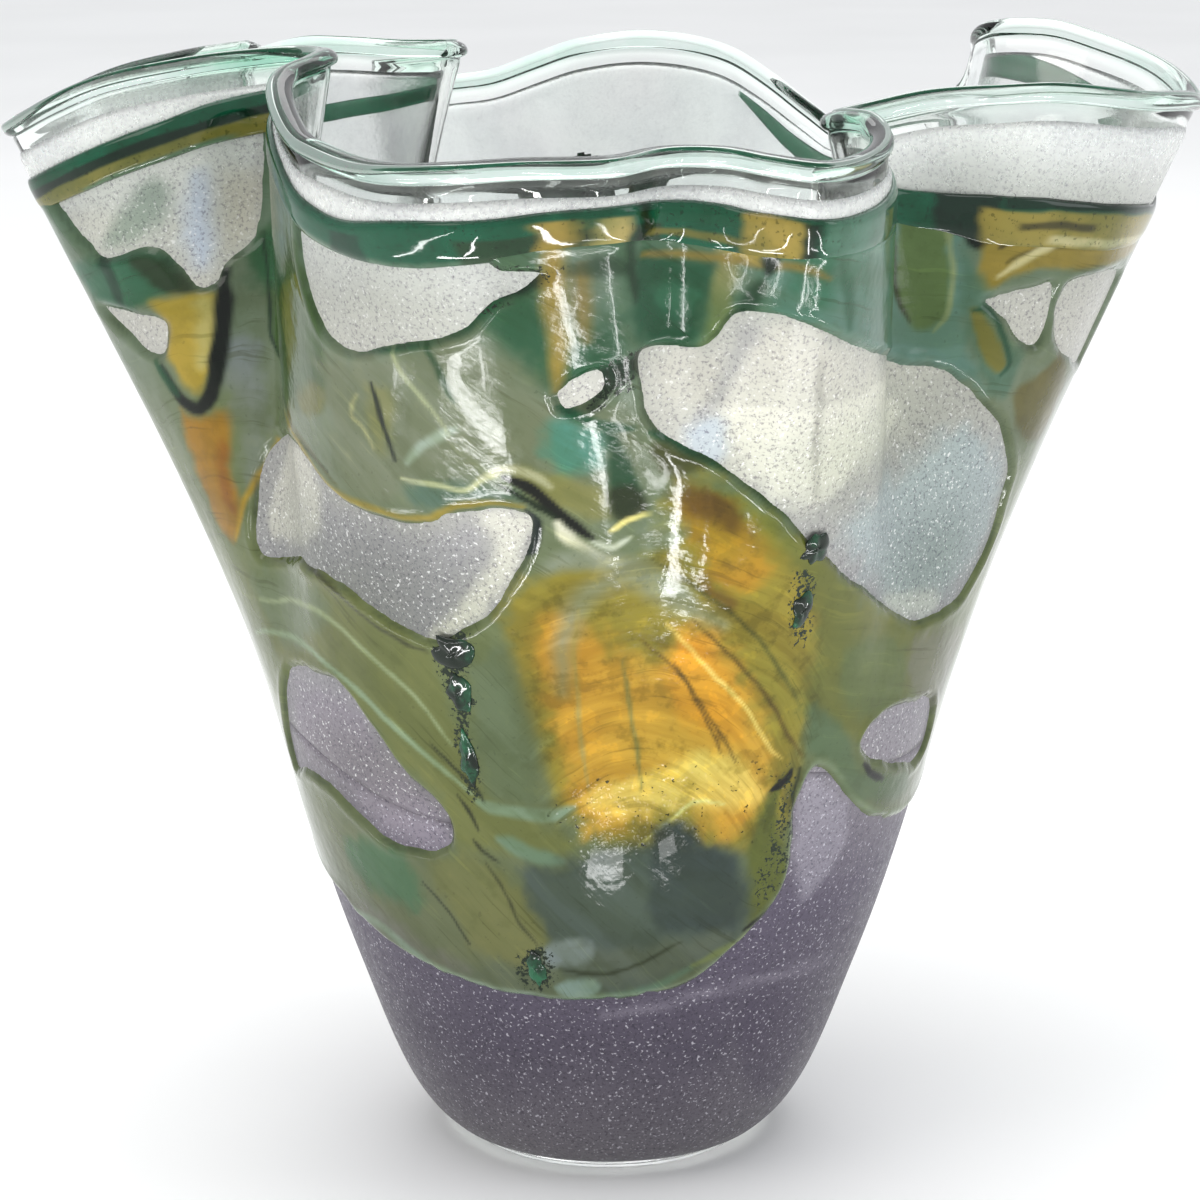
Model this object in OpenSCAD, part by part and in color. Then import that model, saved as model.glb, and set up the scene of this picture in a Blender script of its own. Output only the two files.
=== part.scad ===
// Ruffled handkerchief vase of blown glass.
// Origin: centre of the flat ground foot, on the surface the vase stands on. +Z is up.
// The front, where the amber patch is, faces -Y. All lengths are in mm.

/* [Part] */
// Which piece to draw

/* [Size] */
// Mean height of the wall up to the lip
wall_h = 252; // [235:1:270]
// Radius of the flat ground foot
foot_r = 36; // [30:0.5:38]
// How deep the folds of the rim are, 1 is the full ruffle
ruffle = 1; // [0.7:0.05:1]

/* [Glass] */
// Wall of the blown bubble
wall_t = 3; // [2.4:0.1:3.6]
// Glass under the inside floor
floor_t = 9; // [7:0.5:12]
// Frit layer picked up on the outside
frit_t = 0.75; // [0.6:0.05:0.8]
// Swirls dragged over the frit
swirl_t = 1; // [0.7:0.1:1.4]
// Collar trail wound under the lip
collar_t = 1.4; // [1:0.1:1.8]
// Half width of the collar trail
collar_w = 3.6; // [3:0.1:4.2]
// Height of the bead round the lip
bead_h = 4.2; // [3.6:0.1:4.6]
// Width of the bead round the lip
bead_w = 5.4; // [5:0.1:6]

/* [Hidden] */

U = 120;                 // columns round the wall
step = 360 / U;          // degrees between columns
fold_from = 0.42;        // share of the height where the folds begin
fold_grow = 1.7;         // how the folds deepen towards the rim
skin = 1;                // the bubble lies this far inside the nominal surface
gap = 0.05;              // air left between two layers
frit_in = -skin + gap;
frit_out = frit_in + frit_t;
swirl_in = frit_out + gap;

// Radius of the wall at a height, before it is folded: [height, radius]
WALL = [[-6, 28], [0, 36], [3, 40.5], [8, 45.5], [15, 50], [25, 54.5], [40, 60], [60, 67], [80, 73], [100, 78.2],
        [120, 83.3], [140, 89], [160, 95], [180, 101], [200, 107], [225, 114], [252, 121], [280, 128]];

// Lip of the folded rim, anticlockwise from the front: [column angle, x, y, z]
LIP = [[0, 0, -118, 250], [7, 12, -108, 251], [13, 23, -109, 251], [18, 32, -115, 250],
       [23, 42, -118, 249], [28, 50, -111, 249], [33, 57, -97, 250], [38, 60, -82, 252],
       [42, 58, -69, 254], [45, 53, -61, 254], [48, 52, -53, 253], [53, 60, -46, 254], [58, 72, -43, 256],
       [64, 87, -44, 257], [70, 101, -41, 257], [78, 122, -30, 254], [85, 134, -12, 252],
       [92, 139, 6, 250], [100, 138, 28, 253], [107, 133, 44, 256], [113, 124, 57, 259],
       [118, 113, 65, 262], [123, 102, 71, 262], [129, 98, 80, 259], [134, 99, 92, 253],
       [140, 97, 105, 243], [146, 88, 117, 234], [151, 76, 124, 229], [156, 62, 125, 229],
       [160, 52, 121, 236], [165, 40, 112, 246], [170, 28, 101, 254], [177, 11, 92, 258],
       [184, -5, 95, 256], [189, -17, 104, 251], [194, -29, 111, 246], [199, -41, 113, 244],
       [204, -54, 110, 243], [209, -62, 100, 246], [214, -57, 86, 251], [219, -47, 74, 256],
       [222, -41, 66, 258], [225, -43, 58, 259], [229, -53, 55, 259], [233, -65, 59, 259], [238, -77, 66, 258],
       [243, -90, 71, 254], [248, -102, 71, 251], [253, -107, 63, 252], [257, -99, 54, 256],
       [260, -91, 47, 259], [263, -93, 40, 259], [266, -105, 36, 257], [270, -121, 31, 253], [274, -133, 19, 248],
       [278, -141, 2, 244], [283, -129, -14, 251], [288, -115, -20, 257], [293, -97, -21, 261],
       [297, -81, -15, 263], [300, -72, -14, 264], [303, -67, -20, 264], [307, -69, -31, 263], [311, -74, -44, 261],
       [317, -73, -62, 257], [323, -68, -81, 252], [329, -62, -93, 250], [336, -52, -106, 248],
       [343, -42, -115, 248], [349, -31, -121, 249], [355, -17, -122, 250]];

// Bands of the outer layers: [column angle, share of height at the lower edge, and at the upper edge]
VIOLET = [[0, 0.03, 0.42], [30, 0.03, 0.45], [60, 0.03, 0.44], [110, 0.03, 0.39], [160, 0.03, 0.43],
          [210, 0.03, 0.4], [260, 0.03, 0.45], [300, 0.03, 0.44], [330, 0.03, 0.41], [360, 0.03, 0.42]];
AMBER = [[348, 0.43, 0.6], [351, 0.39, 0.625], [357, 0.385, 0.66], [363, 0.375, 0.675], [366, 0.372, 0.735],
         [372, 0.37, 0.73], [378, 0.37, 0.705], [384, 0.375, 0.66], [390, 0.385, 0.6], [393, 0.42, 0.57]];
SLATE = [[294, 0.27, 0.4], [303, 0.252, 0.395], [312, 0.24, 0.38], [321, 0.232, 0.36], [327, 0.226, 0.358],
         [333, 0.221, 0.372], [342, 0.218, 0.38], [351, 0.215, 0.385], [357, 0.217, 0.38], [363, 0.222, 0.37],
         [372, 0.228, 0.365], [378, 0.238, 0.365], [384, 0.262, 0.37], [390, 0.295, 0.38], [393, 0.315, 0.405]];
OLIVE_L = [[291, 0.475, 0.585], [297, 0.485, 0.59], [309, 0.505, 0.61], [318, 0.498, 0.6], [324, 0.462, 0.585],
           [327, 0.44, 0.575], [333, 0.378, 0.565], [342, 0.386, 0.6], [345, 0.388, 0.62]];
OLIVE_R = [[396, 0.46, 0.6], [402, 0.455, 0.595], [408, 0.465, 0.57], [414, 0.473, 0.555], [423, 0.472, 0.55],
           [432, 0.465, 0.56], [441, 0.46, 0.61], [450, 0.45, 0.64], [462, 0.44, 0.6], [471, 0.46, 0.55]];
STRAP_R = [[399, 0.43, 0.45], [405, 0.398, 0.44], [411, 0.378, 0.415], [420, 0.36, 0.398], [432, 0.35, 0.4],
           [441, 0.345, 0.42], [450, 0.35, 0.42]];
SAGE = [[303, 0.715, 0.9], [309, 0.718, 0.905], [321, 0.714, 0.9], [330, 0.698, 0.85], [336, 0.686, 0.848],
        [345, 0.71, 0.87], [351, 0.7, 0.9], [354, 0.675, 0.92], [360, 0.685, 0.925], [366, 0.775, 0.922],
        [372, 0.8, 0.92]];
TEAL = [[375, 0.872, 0.918], [381, 0.883, 0.916], [387, 0.872, 0.914], [396, 0.845, 0.908], [405, 0.812, 0.9],
        [414, 0.792, 0.89], [420, 0.77, 0.875], [426, 0.745, 0.835], [432, 0.725, 0.8], [438, 0.71, 0.78]];
GOLD_L = [[276, 0.79, 0.86], [282, 0.74, 0.868], [288, 0.68, 0.866], [291, 0.64, 0.86], [294, 0.61, 0.83],
          [297, 0.69, 0.8]];
OLIVE_B = [[480, 0.4, 0.52], [492, 0.36, 0.6], [510, 0.33, 0.66], [528, 0.35, 0.63], [546, 0.38, 0.58],
           [564, 0.41, 0.6], [582, 0.4, 0.66], [600, 0.36, 0.62], [618, 0.37, 0.54], [630, 0.42, 0.5]];
GREEN_B = [[450, 0.72, 0.82], [462, 0.7, 0.86], [480, 0.72, 0.88], [498, 0.76, 0.87], [516, 0.72, 0.84],
           [540, 0.7, 0.83], [564, 0.73, 0.86], [588, 0.74, 0.88], [606, 0.7, 0.84], [624, 0.72, 0.86],
           [633, 0.74, 0.82]];
// Middle of the collar trail: [column angle, share of height, share of the full width]
COLLAR = [[-156, 0.968, 0.5], [-150, 0.966, 0.9], [-129, 0.965, 1], [-100, 0.955, 1], [-80, 0.952, 1],
          [-66, 0.962, 1], [-48, 0.966, 1], [-36, 0.962, 1], [-24, 0.953, 1], [-12, 0.95, 1.1], [0, 0.952, 1.1],
          [15, 0.948, 1], [30, 0.945, 1.1], [48, 0.93, 1.1], [60, 0.912, 1.4], [72, 0.905, 1.5], [84, 0.915, 1.2],
          [99, 0.95, 1], [120, 0.97, 0.9], [141, 0.962, 1], [159, 0.962, 0.9], [168, 0.972, 0.4]];
// Chips of dark glass pressed into the swirls: [angle, share of height, half width, half height]
CHIPS = [[338, 0.573, 3.6, 4], [338.4, 0.53, 2.4, 3.4], [337.6, 0.47, 1.9, 6.5], [346, 0.268, 2.6, 3.4],
         [28, 0.668, 2.6, 3], [27.4, 0.61, 1.8, 3.4]];

// Rows of the bubble, as shares of the height
ROWS_OUT = [0.013, 0.033, 0.06, 0.1, 0.16, 0.24, 0.32, 0.4, 0.48, 0.55, 0.62, 0.68, 0.74, 0.8, 0.86, 0.91, 0.96, 1];
ROWS_IN = [1, 0.96, 0.91, 0.86, 0.8, 0.73, 0.66, 0.58, 0.5, 0.4, 0.28, 0.16];

// Cubic through the rows of a table, with slopes taken from the neighbours
function spot(T, x, i = 1) = (i >= len(T) - 3 || T[i + 1][0] > x) ? i : spot(T, x, i + 1);
function tail(v) = len(v) == 2 ? v[1] : [v[1], v[2], v[3]];
function cubic(T, x) =
    let (i = spot(T, x), h = T[i + 1][0] - T[i][0], t = (x - T[i][0]) / h,
         a = tail(T[i]), b = tail(T[i + 1]),
         m = (b - tail(T[i - 1])) / (T[i + 1][0] - T[i - 1][0]) * h,
         n = (tail(T[i + 2]) - a) / (T[i + 2][0] - T[i][0]) * h)
    (2 * pow(t, 3) - 3 * t * t + 1) * a + (pow(t, 3) - 2 * t * t + t) * m
    + (3 * t * t - 2 * pow(t, 3)) * b + (pow(t, 3) - t * t) * n;
function turned(r, d) = [r[0] + d, r[1], r[2], r[3]];
LIP_LOOP = concat([turned(LIP[len(LIP) - 2], -360), turned(LIP[len(LIP) - 1], -360)], LIP,
                  [turned(LIP[0], 360), turned(LIP[1], 360), turned(LIP[2], 360)]);
hs = wall_h / 252;
LIP_AT = [for (i = [0:U - 1]) let (p = cubic(LIP_LOOP, i * step)) [p[0], p[1], p[2] * hs]];

// Nominal outer surface: column i (whole number), share of the height s
function col(i) = ((i % U) + U) % U;
function plain(a, s) = let (r = cubic(WALL, s * 252)) [r * sin(a), -r * cos(a), s * wall_h];
function grow(s) = s <= fold_from ? 0 : pow((s - fold_from) / (1 - fold_from), fold_grow);
function face(i, s) = let (k = col(i), a = k * step)
    s <= fold_from ? plain(a, s) : plain(a, s) + grow(s) * ruffle * (LIP_AT[k] - plain(a, 1));
function up(i, s) = let (v = face(i, min(s + 0.01, 1)) - face(i, max(s - 0.01, 0.005))) v / norm(v);
function out(i, s) = let (v = cross(face(i + 1, s) - face(i - 1, s), up(i, s))) v / norm(v);
function at(i, s, o) = face(i, s) + o * out(i, s);

// Straight line through a table
function low(T, x, i = 0) = (i >= len(T) - 2 || T[i + 1][0] >= x) ? i : low(T, x, i + 1);
function line(T, x) = let (i = low(T, x), t = (x - T[i][0]) / (T[i + 1][0] - T[i][0])) T[i] + t * (T[i + 1] - T[i]);

// Closed solid from rings of points: every ring has n points, rings are stacked
module stack(rings, closed_ends) {
    n = len(rings[0]);
    m = len(rings);
    pts = [for (r = rings) for (p = r) p];
    quads = [for (j = [0:m - 2]) for (i = [0:n - 1]) let (k = (i + 1) % n)
             each [[j * n + i, (j + 1) * n + i, (j + 1) * n + k], [j * n + i, (j + 1) * n + k, j * n + k]]];
    ends = closed_ends ? [[for (i = [0:n - 1]) i], [for (i = [n - 1:-1:0]) (m - 1) * n + i]] : [];
    polyhedron(points = pts, faces = concat(quads, ends), convexity = 8);
}

// Section of a layer at one column, from the inside bottom to the outside bottom.
// A power e over 1 crowds the rows towards the lower edge.
function slab(i, a, b, o0, o1, n, e = 1) =
    concat([for (k = [0:n]) at(i, a + (b - a) * pow(k / n, e), o0)],
           [for (k = [n:-1:0]) at(i, a + (b - a) * pow(k / n, e), o1)]);

// Layer all the way round, between the edges in table T
module ring_layer(T, o0, o1, n, e = 1) {
    secs = [for (i = [0:U - 1]) let (r = line(T, i * step)) slab(i, r[1], r[2], o0, o1, n, e)];
    m = len(secs[0]);
    pts = [for (r = secs) for (p = r) p];
    faces = [for (j = [0:U - 1]) for (i = [0:m - 1]) let (k = (i + 1) % m, q = (j + 1) % U)
             each [[j * m + i, q * m + i, q * m + k], [j * m + i, q * m + k, j * m + k]]];
    polyhedron(points = pts, faces = faces, convexity = 8);
}

// Layer over part of the way round, thinner at its edges
module patch(T, o0, o1, n) {
    a0 = T[0][0];
    a1 = T[len(T) - 1][0];
    c0 = ceil(a0 / step - 0.001);
    c1 = floor(a1 / step + 0.001);
    stack([for (i = [c0:c1]) let (r = line(T, i * step)) slab(i, r[1], r[2], o0, o1, n)], true);
}

// A strip that follows the wall, with its half width in mm
module trail(T, o0, o1, w) {
    c0 = ceil(T[0][0] / step - 0.001);
    c1 = floor(T[len(T) - 1][0] / step + 0.001);
    stack([for (i = [c0:c1]) let (r = line(T, i * step), h = r[2] * w / wall_h)
           [at(i, r[1] - h, o0), at(i, r[1], o0), at(i, r[1] + h, o0),
            at(i, r[1] + h * 0.7, o1 - 0.2), at(i, r[1], o1), at(i, r[1] - h * 0.7, o1 - 0.2)]], true);
}

// Blown bubble: floor, wall and folded rim in one gather of clear glass
function ring(r, z) = [for (i = [0:U - 1]) [r * sin(i * step), -r * cos(i * step), z]];
module vase_body() {
    outer = [for (s = ROWS_OUT) [for (i = [0:U - 1]) at(i, s, -skin)]];
    inner = [for (s = ROWS_IN) [for (i = [0:U - 1]) at(i, s, -skin - wall_t)]];
    heel = [ring(49, floor_t + 14), ring(44.5, floor_t + 7.5), ring(37, floor_t + 2.6), ring(27, floor_t + 0.4),
            ring(16, floor_t)];
    color([0.86, 0.9, 0.88, 0.4])
    stack([for (r = concat([ring(foot_r, 0)], outer, inner, heel)) [for (i = [U - 1:-1:0]) r[i]]], true);
}

// Violet frit rolled on over the lower body
module violet_frit_casing() color([0.38, 0.34, 0.43]) ring_layer(VIOLET, frit_in, frit_out, 5, 1.8);

// Pale pearl frit from the violet up to the lip
module pearl_frit_casing() color([0.78, 0.78, 0.74])
    ring_layer([for (r = VIOLET) [r[0], r[2] + 0.001, 0.98]], frit_in, frit_out, 8);

// Gold amber glass dragged across the front
module amber_swirl() color([0.84, 0.64, 0.24]) patch(AMBER, swirl_in, swirl_in + swirl_t, 5);

// Slate green tongue at the foot of the swirls
module slate_swirl() color([0.42, 0.48, 0.44]) patch(SLATE, swirl_in, swirl_in + swirl_t, 3);

// Olive flow on the left of the amber
module left_olive_swirl() color([0.5, 0.52, 0.32]) patch(OLIVE_L, swirl_in, swirl_in + swirl_t, 3);

// Olive flow on the right of the amber
module right_olive_swirl() color([0.49, 0.5, 0.3]) patch(OLIVE_R, swirl_in, swirl_in + swirl_t, 3);

// Narrow olive strap below it
module right_strap_swirl() color([0.45, 0.48, 0.32]) patch(STRAP_R, swirl_in, swirl_in + swirl_t, 1);

// Sage glass under the front folds
module sage_swirl() color([0.5, 0.58, 0.53]) patch(SAGE, swirl_in, swirl_in + swirl_t, 5);

// Teal glass under the collar on the right
module teal_shoulder_swirl() color([0.24, 0.42, 0.36]) patch(TEAL, swirl_in, swirl_in + swirl_t, 2);

// Gold and dark green drip on the left fold
module left_gold_swirl() color([0.6, 0.55, 0.26]) patch(GOLD_L, swirl_in, swirl_in + swirl_t, 4);

// Olive and amber swirl round the back
module back_olive_swirl() color([0.52, 0.5, 0.28]) patch(OLIVE_B, swirl_in, swirl_in + swirl_t, 4);

// Green swirl under the folds at the back
module back_green_swirl() color([0.2, 0.42, 0.33]) patch(GREEN_B, swirl_in, swirl_in + swirl_t, 2);

// Dark chips that stand on the swirls
module emerald_chips() color([0.06, 0.2, 0.14])
    for (c = CHIPS) {
        i = round(c[0] / step);
        base = at(i, c[1], swirl_in + swirl_t + gap);
        n = out(i, c[1]);
        v = up(i, c[1]);
        h = cross(v, n);
        stack([for (k = [[0, 1], [0.7, 0.85], [1.1, 0.45]])
               [for (a = [0:45:315]) base + n * k[0] + (h * c[2] * cos(a) + v * c[3] * sin(a)) * k[1]]], true);
    }

// Dark green trail wound once round under the lip
module collar_trail() color([0.07, 0.3, 0.2]) trail(COLLAR, swirl_in, swirl_in + collar_t, collar_w);

// Fire polished bead of clear glass on the edge of the bubble
function bead(i) =
    let (e = at(i, 1, -skin), f = at(i, 1, -skin - wall_t), n = out(i, 1), t = up(i, 1), m = (e + f) / 2,
         w = bead_w / 2, h = bead_h)
    [f, m - n * w + t * h * 0.28, m - n * w + t * h * 0.68, m - n * w * 0.45 + t * h,
     m + n * w * 0.45 + t * h, m + n * w + t * h * 0.68, m + n * w + t * h * 0.28, e];
module loop(secs) {
    m = len(secs[0]);
    pts = [for (r = secs) for (p = r) p];
    faces = [for (j = [0:U - 1]) for (i = [0:m - 1]) let (k = (i + 1) % m, q = (j + 1) % U)
             each [[j * m + i, q * m + i, q * m + k], [j * m + i, q * m + k, j * m + k]]];
    polyhedron(points = pts, faces = faces, convexity = 8);
}
module lip_wrap() color([0.8, 0.86, 0.84, 0.5]) loop([for (i = [0:U - 1]) bead(i)]);

// Fine green thread on the outside of the bead
function thread(i) =
    let (b = bead(i), n = out(i, 1), p = b[6] + 0.1 * (b[5] - b[6]) + n * gap, q = b[6] + 0.9 * (b[5] - b[6]) + n * gap)
    [p, q, q - 0.2 * (q - p) + n * 0.7, p + 0.2 * (q - p) + n * 0.7];
module lip_thread() color([0.1, 0.4, 0.28]) loop([for (i = [0:U - 1]) thread(i)]);

vase_body();
violet_frit_casing();
pearl_frit_casing();
amber_swirl();
slate_swirl();
left_olive_swirl();
right_olive_swirl();
right_strap_swirl();
sage_swirl();
teal_shoulder_swirl();
left_gold_swirl();
back_olive_swirl();
back_green_swirl();
emerald_chips();
collar_trail();
lip_wrap();
lip_thread();
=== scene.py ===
"""Ruffled blown glass vase: the looks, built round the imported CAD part."""
import math

import bpy
import numpy as np
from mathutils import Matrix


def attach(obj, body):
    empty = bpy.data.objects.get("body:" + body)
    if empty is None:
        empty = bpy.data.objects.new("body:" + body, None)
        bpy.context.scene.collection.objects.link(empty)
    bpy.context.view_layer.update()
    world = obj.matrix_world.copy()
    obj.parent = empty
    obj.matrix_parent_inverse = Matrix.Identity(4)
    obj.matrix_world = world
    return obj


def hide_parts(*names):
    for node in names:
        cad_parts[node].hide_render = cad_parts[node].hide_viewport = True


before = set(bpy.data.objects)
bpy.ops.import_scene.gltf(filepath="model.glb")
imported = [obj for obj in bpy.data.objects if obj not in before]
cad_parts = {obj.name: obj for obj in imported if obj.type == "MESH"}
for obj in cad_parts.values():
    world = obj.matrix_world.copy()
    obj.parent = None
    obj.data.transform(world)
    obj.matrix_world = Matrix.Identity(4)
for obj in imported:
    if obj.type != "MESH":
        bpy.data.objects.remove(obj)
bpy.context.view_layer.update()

# ----------------------------------------------------------------------------
# The wall of the vase, as in the CAD part: mm, column angle in degrees from the
# front (-Y) anticlockwise, s = share of the 252 mm nominal height.
# ----------------------------------------------------------------------------
WALL = np.array([
    [0, 36], [3, 40.5], [8, 45.5], [15, 50], [25, 54.5], [40, 60], [60, 67], [80, 73], [100, 78.2],
    [120, 83.3], [140, 89], [160, 95], [180, 101], [200, 107], [225, 114], [252, 121]], float)
LIP = np.array([
    [0, 0, -118, 250], [7, 12, -108, 251], [13, 23, -109, 251], [18, 32, -115, 250],
    [23, 42, -118, 249], [28, 50, -111, 249], [33, 57, -97, 250], [38, 60, -82, 252],
    [42, 58, -69, 254], [45, 53, -61, 254], [48, 52, -53, 253], [53, 60, -46, 254], [58, 72, -43, 256],
    [64, 87, -44, 257], [70, 101, -41, 257], [78, 122, -30, 254], [85, 134, -12, 252],
    [92, 139, 6, 250], [100, 138, 28, 253], [107, 133, 44, 256], [113, 124, 57, 259],
    [118, 113, 65, 262], [123, 102, 71, 262], [129, 98, 80, 259], [134, 99, 92, 253],
    [140, 97, 105, 243], [146, 88, 117, 234], [151, 76, 124, 229], [156, 62, 125, 229],
    [160, 52, 121, 236], [165, 40, 112, 246], [170, 28, 101, 254], [177, 11, 92, 258],
    [184, -5, 95, 256], [189, -17, 104, 251], [194, -29, 111, 246], [199, -41, 113, 244],
    [204, -54, 110, 243], [209, -62, 100, 246], [214, -57, 86, 251], [219, -47, 74, 256],
    [222, -41, 66, 258], [225, -43, 58, 259], [229, -53, 55, 259], [233, -65, 59, 259], [238, -77, 66, 258],
    [243, -90, 71, 254], [248, -102, 71, 251], [253, -107, 63, 252], [257, -99, 54, 256],
    [260, -91, 47, 259], [263, -93, 40, 259], [266, -105, 36, 257], [270, -121, 31, 253], [274, -133, 19, 248],
    [278, -141, 2, 244], [283, -129, -14, 251], [288, -115, -20, 257], [293, -97, -21, 261],
    [297, -81, -15, 263], [300, -72, -14, 264], [303, -67, -20, 264], [307, -69, -31, 263], [311, -74, -44, 261],
    [317, -73, -62, 257], [323, -68, -81, 252], [329, -62, -93, 250], [336, -52, -106, 248],
    [343, -42, -115, 248], [349, -31, -121, 249], [355, -17, -122, 250]], float)
HN, FOLD_FROM, FOLD_GROW, WALL_T, SKIN = 252.0, 0.42, 1.7, 3.0, 1.0


def cubic(X, Y, x, period=None):
    if period:
        X = np.concatenate([X[-2:] - period, X, X[:3] + period])
        Y = np.concatenate([Y[-2:], Y, Y[:3]])
        x = np.mod(x, period)
    else:
        X = np.concatenate([[2 * X[0] - X[1]], X, [2 * X[-1] - X[-2]]])
        Y = np.concatenate([[2 * Y[0] - Y[1]], Y, [2 * Y[-1] - Y[-2]]])
    i = np.clip(np.searchsorted(X, x, side="right") - 1, 1, len(X) - 3)
    h = X[i + 1] - X[i]
    t = (x - X[i]) / h
    m0 = ((Y[i + 1] - Y[i - 1]).T / (X[i + 1] - X[i - 1])).T
    m1 = ((Y[i + 2] - Y[i]).T / (X[i + 2] - X[i])).T
    if Y.ndim > 1:
        t, h = t[:, None], h[:, None]
    return ((2 * t**3 - 3 * t**2 + 1) * Y[i] + (t**3 - 2 * t**2 + t) * h * m0
            + (3 * t**2 - 2 * t**3) * Y[i + 1] + (t**3 - t**2) * h * m1)


def face(phi, s):
    """Nominal outer surface in mm, for arrays of the same shape."""
    shape = np.shape(phi)
    phi, s = np.ravel(phi).astype(float), np.ravel(s).astype(float)
    a = np.radians(phi)

    def plain(s):
        r = cubic(WALL[:, 0], WALL[:, 1], s * HN)
        return np.stack([r * np.sin(a), -r * np.cos(a), s * HN], -1)

    w = np.clip((s - FOLD_FROM) / (1 - FOLD_FROM), 0, None) ** FOLD_GROW
    P = plain(s) + w[:, None] * (cubic(LIP[:, 0], LIP[:, 1:], phi, 360.0) - plain(np.ones_like(s)))
    return P.reshape(shape + (3,))


def frame_at(phi, s):
    """Point, outward normal and upward tangent."""
    P = face(phi, s)
    du = face(phi + 0.3, s) - face(phi - 0.3, s)
    ds = face(phi, np.minimum(s + 0.004, 1)) - face(phi, np.maximum(s - 0.004, 0.002))
    n = np.cross(du, ds)
    n /= np.linalg.norm(n, axis=-1, keepdims=True)
    ds /= np.linalg.norm(ds, axis=-1, keepdims=True)
    return P, n, ds


# ----------------------------------------------------------------------------
# Repeatable smooth noise on the wall, for shapes (the materials have their own)
# ----------------------------------------------------------------------------
def hash01(ix, iy, seed):
    h = (ix.astype(np.int64) * 374761393 + iy.astype(np.int64) * 668265263 + seed * 974634777) & 0xFFFFFFFF
    h = ((h ^ (h >> 13)) * 1274126177) & 0xFFFFFFFF
    return ((h ^ (h >> 16)) & 0xFFFF) / 65535.0


def vnoise(x, y, seed, wrap=None):
    ix, iy = np.floor(x).astype(np.int64), np.floor(y).astype(np.int64)
    fx, fy = x - ix, y - iy
    fx, fy = fx * fx * (3 - 2 * fx), fy * fy * (3 - 2 * fy)
    jx = ix + 1
    if wrap:
        ix, jx = ix % wrap, jx % wrap
    a, b = hash01(ix, iy, seed), hash01(jx, iy, seed)
    c, d = hash01(ix, iy + 1, seed), hash01(jx, iy + 1, seed)
    return (a * (1 - fx) + b * fx) * (1 - fy) + (c * (1 - fx) + d * fx) * fy - 0.5


def wobble(phi, s, cells, seed, octaves=3):
    """Noise round the wall; cells = how many cells go round it."""
    out, amp = 0, 1.0
    for k in range(octaves):
        n = int(cells * 2**k)
        out = out + amp * vnoise(np.mod(phi, 360) / 360 * n, s * HN / 565 * n, seed + k, n)
        amp *= 0.5
    return out


def smooth(a, b, x):
    t = np.clip((x - a) / (b - a), 0, 1)
    return t * t * (3 - 2 * t)


# ----------------------------------------------------------------------------
# Outlines in (column angle -180..180, share of height); distances in mm
# ----------------------------------------------------------------------------
MM_PHI, MM_S = 1.62, HN


def rounded(poly, n=8):
    """Closed smooth curve through given points."""
    P = np.array(poly, float)
    out = []
    for i in range(len(P)):
        p0, p1, p2, p3 = P[i - 1], P[i], P[(i + 1) % len(P)], P[(i + 2) % len(P)]
        for k in range(n):
            t = k / n
            out.append(0.5 * ((2 * p1) + (-p0 + p2) * t + (2 * p0 - 5 * p1 + 4 * p2 - p3) * t * t
                              + (-p0 + 3 * p1 - 3 * p2 + p3) * t**3))
    return np.array(out)


def inside_mm(phi, s, poly, curved=True):
    """Signed distance in mm to a closed outline, positive inside."""
    Q = rounded(poly) if curved else np.array(poly, float)
    Q = Q * [MM_PHI, MM_S]
    c = Q[:, 0].mean()
    x = (np.mod(phi * 1.0 - c / MM_PHI + 180, 360) - 180) * MM_PHI + c
    y = s * MM_S
    shape = x.shape
    x, y = x.ravel(), y.ravel()
    best = np.full(x.shape, 1e9)
    cross = np.zeros(x.shape, bool)
    lo, hi = Q.min(0) - 25, Q.max(0) + 25
    near = (x > lo[0]) & (x < hi[0]) & (y > lo[1]) & (y < hi[1])
    xn, yn = x[near], y[near]
    bn, cn = np.full(xn.shape, 1e9), np.zeros(xn.shape, bool)
    for k in range(len(Q)):
        ax, ay = Q[k - 1]
        bx, by = Q[k]
        dx, dy = bx - ax, by - ay
        L = dx * dx + dy * dy
        if L < 1e-12:
            continue
        t = np.clip(((xn - ax) * dx + (yn - ay) * dy) / L, 0, 1)
        d = (xn - ax - t * dx) ** 2 + (yn - ay - t * dy) ** 2
        bn = np.minimum(bn, d)
        if ay != by:
            hit = ((ay > yn) != (by > yn)) & (xn < (bx - ax) * (yn - ay) / (by - ay) + ax)
            cn ^= hit
    best[near] = bn
    cross[near] = cn
    d = np.sqrt(best)
    d = np.where(best > 1e8, 25.0, np.minimum(d, 25.0))
    return np.where(cross, d, -d).reshape(shape)


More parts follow.
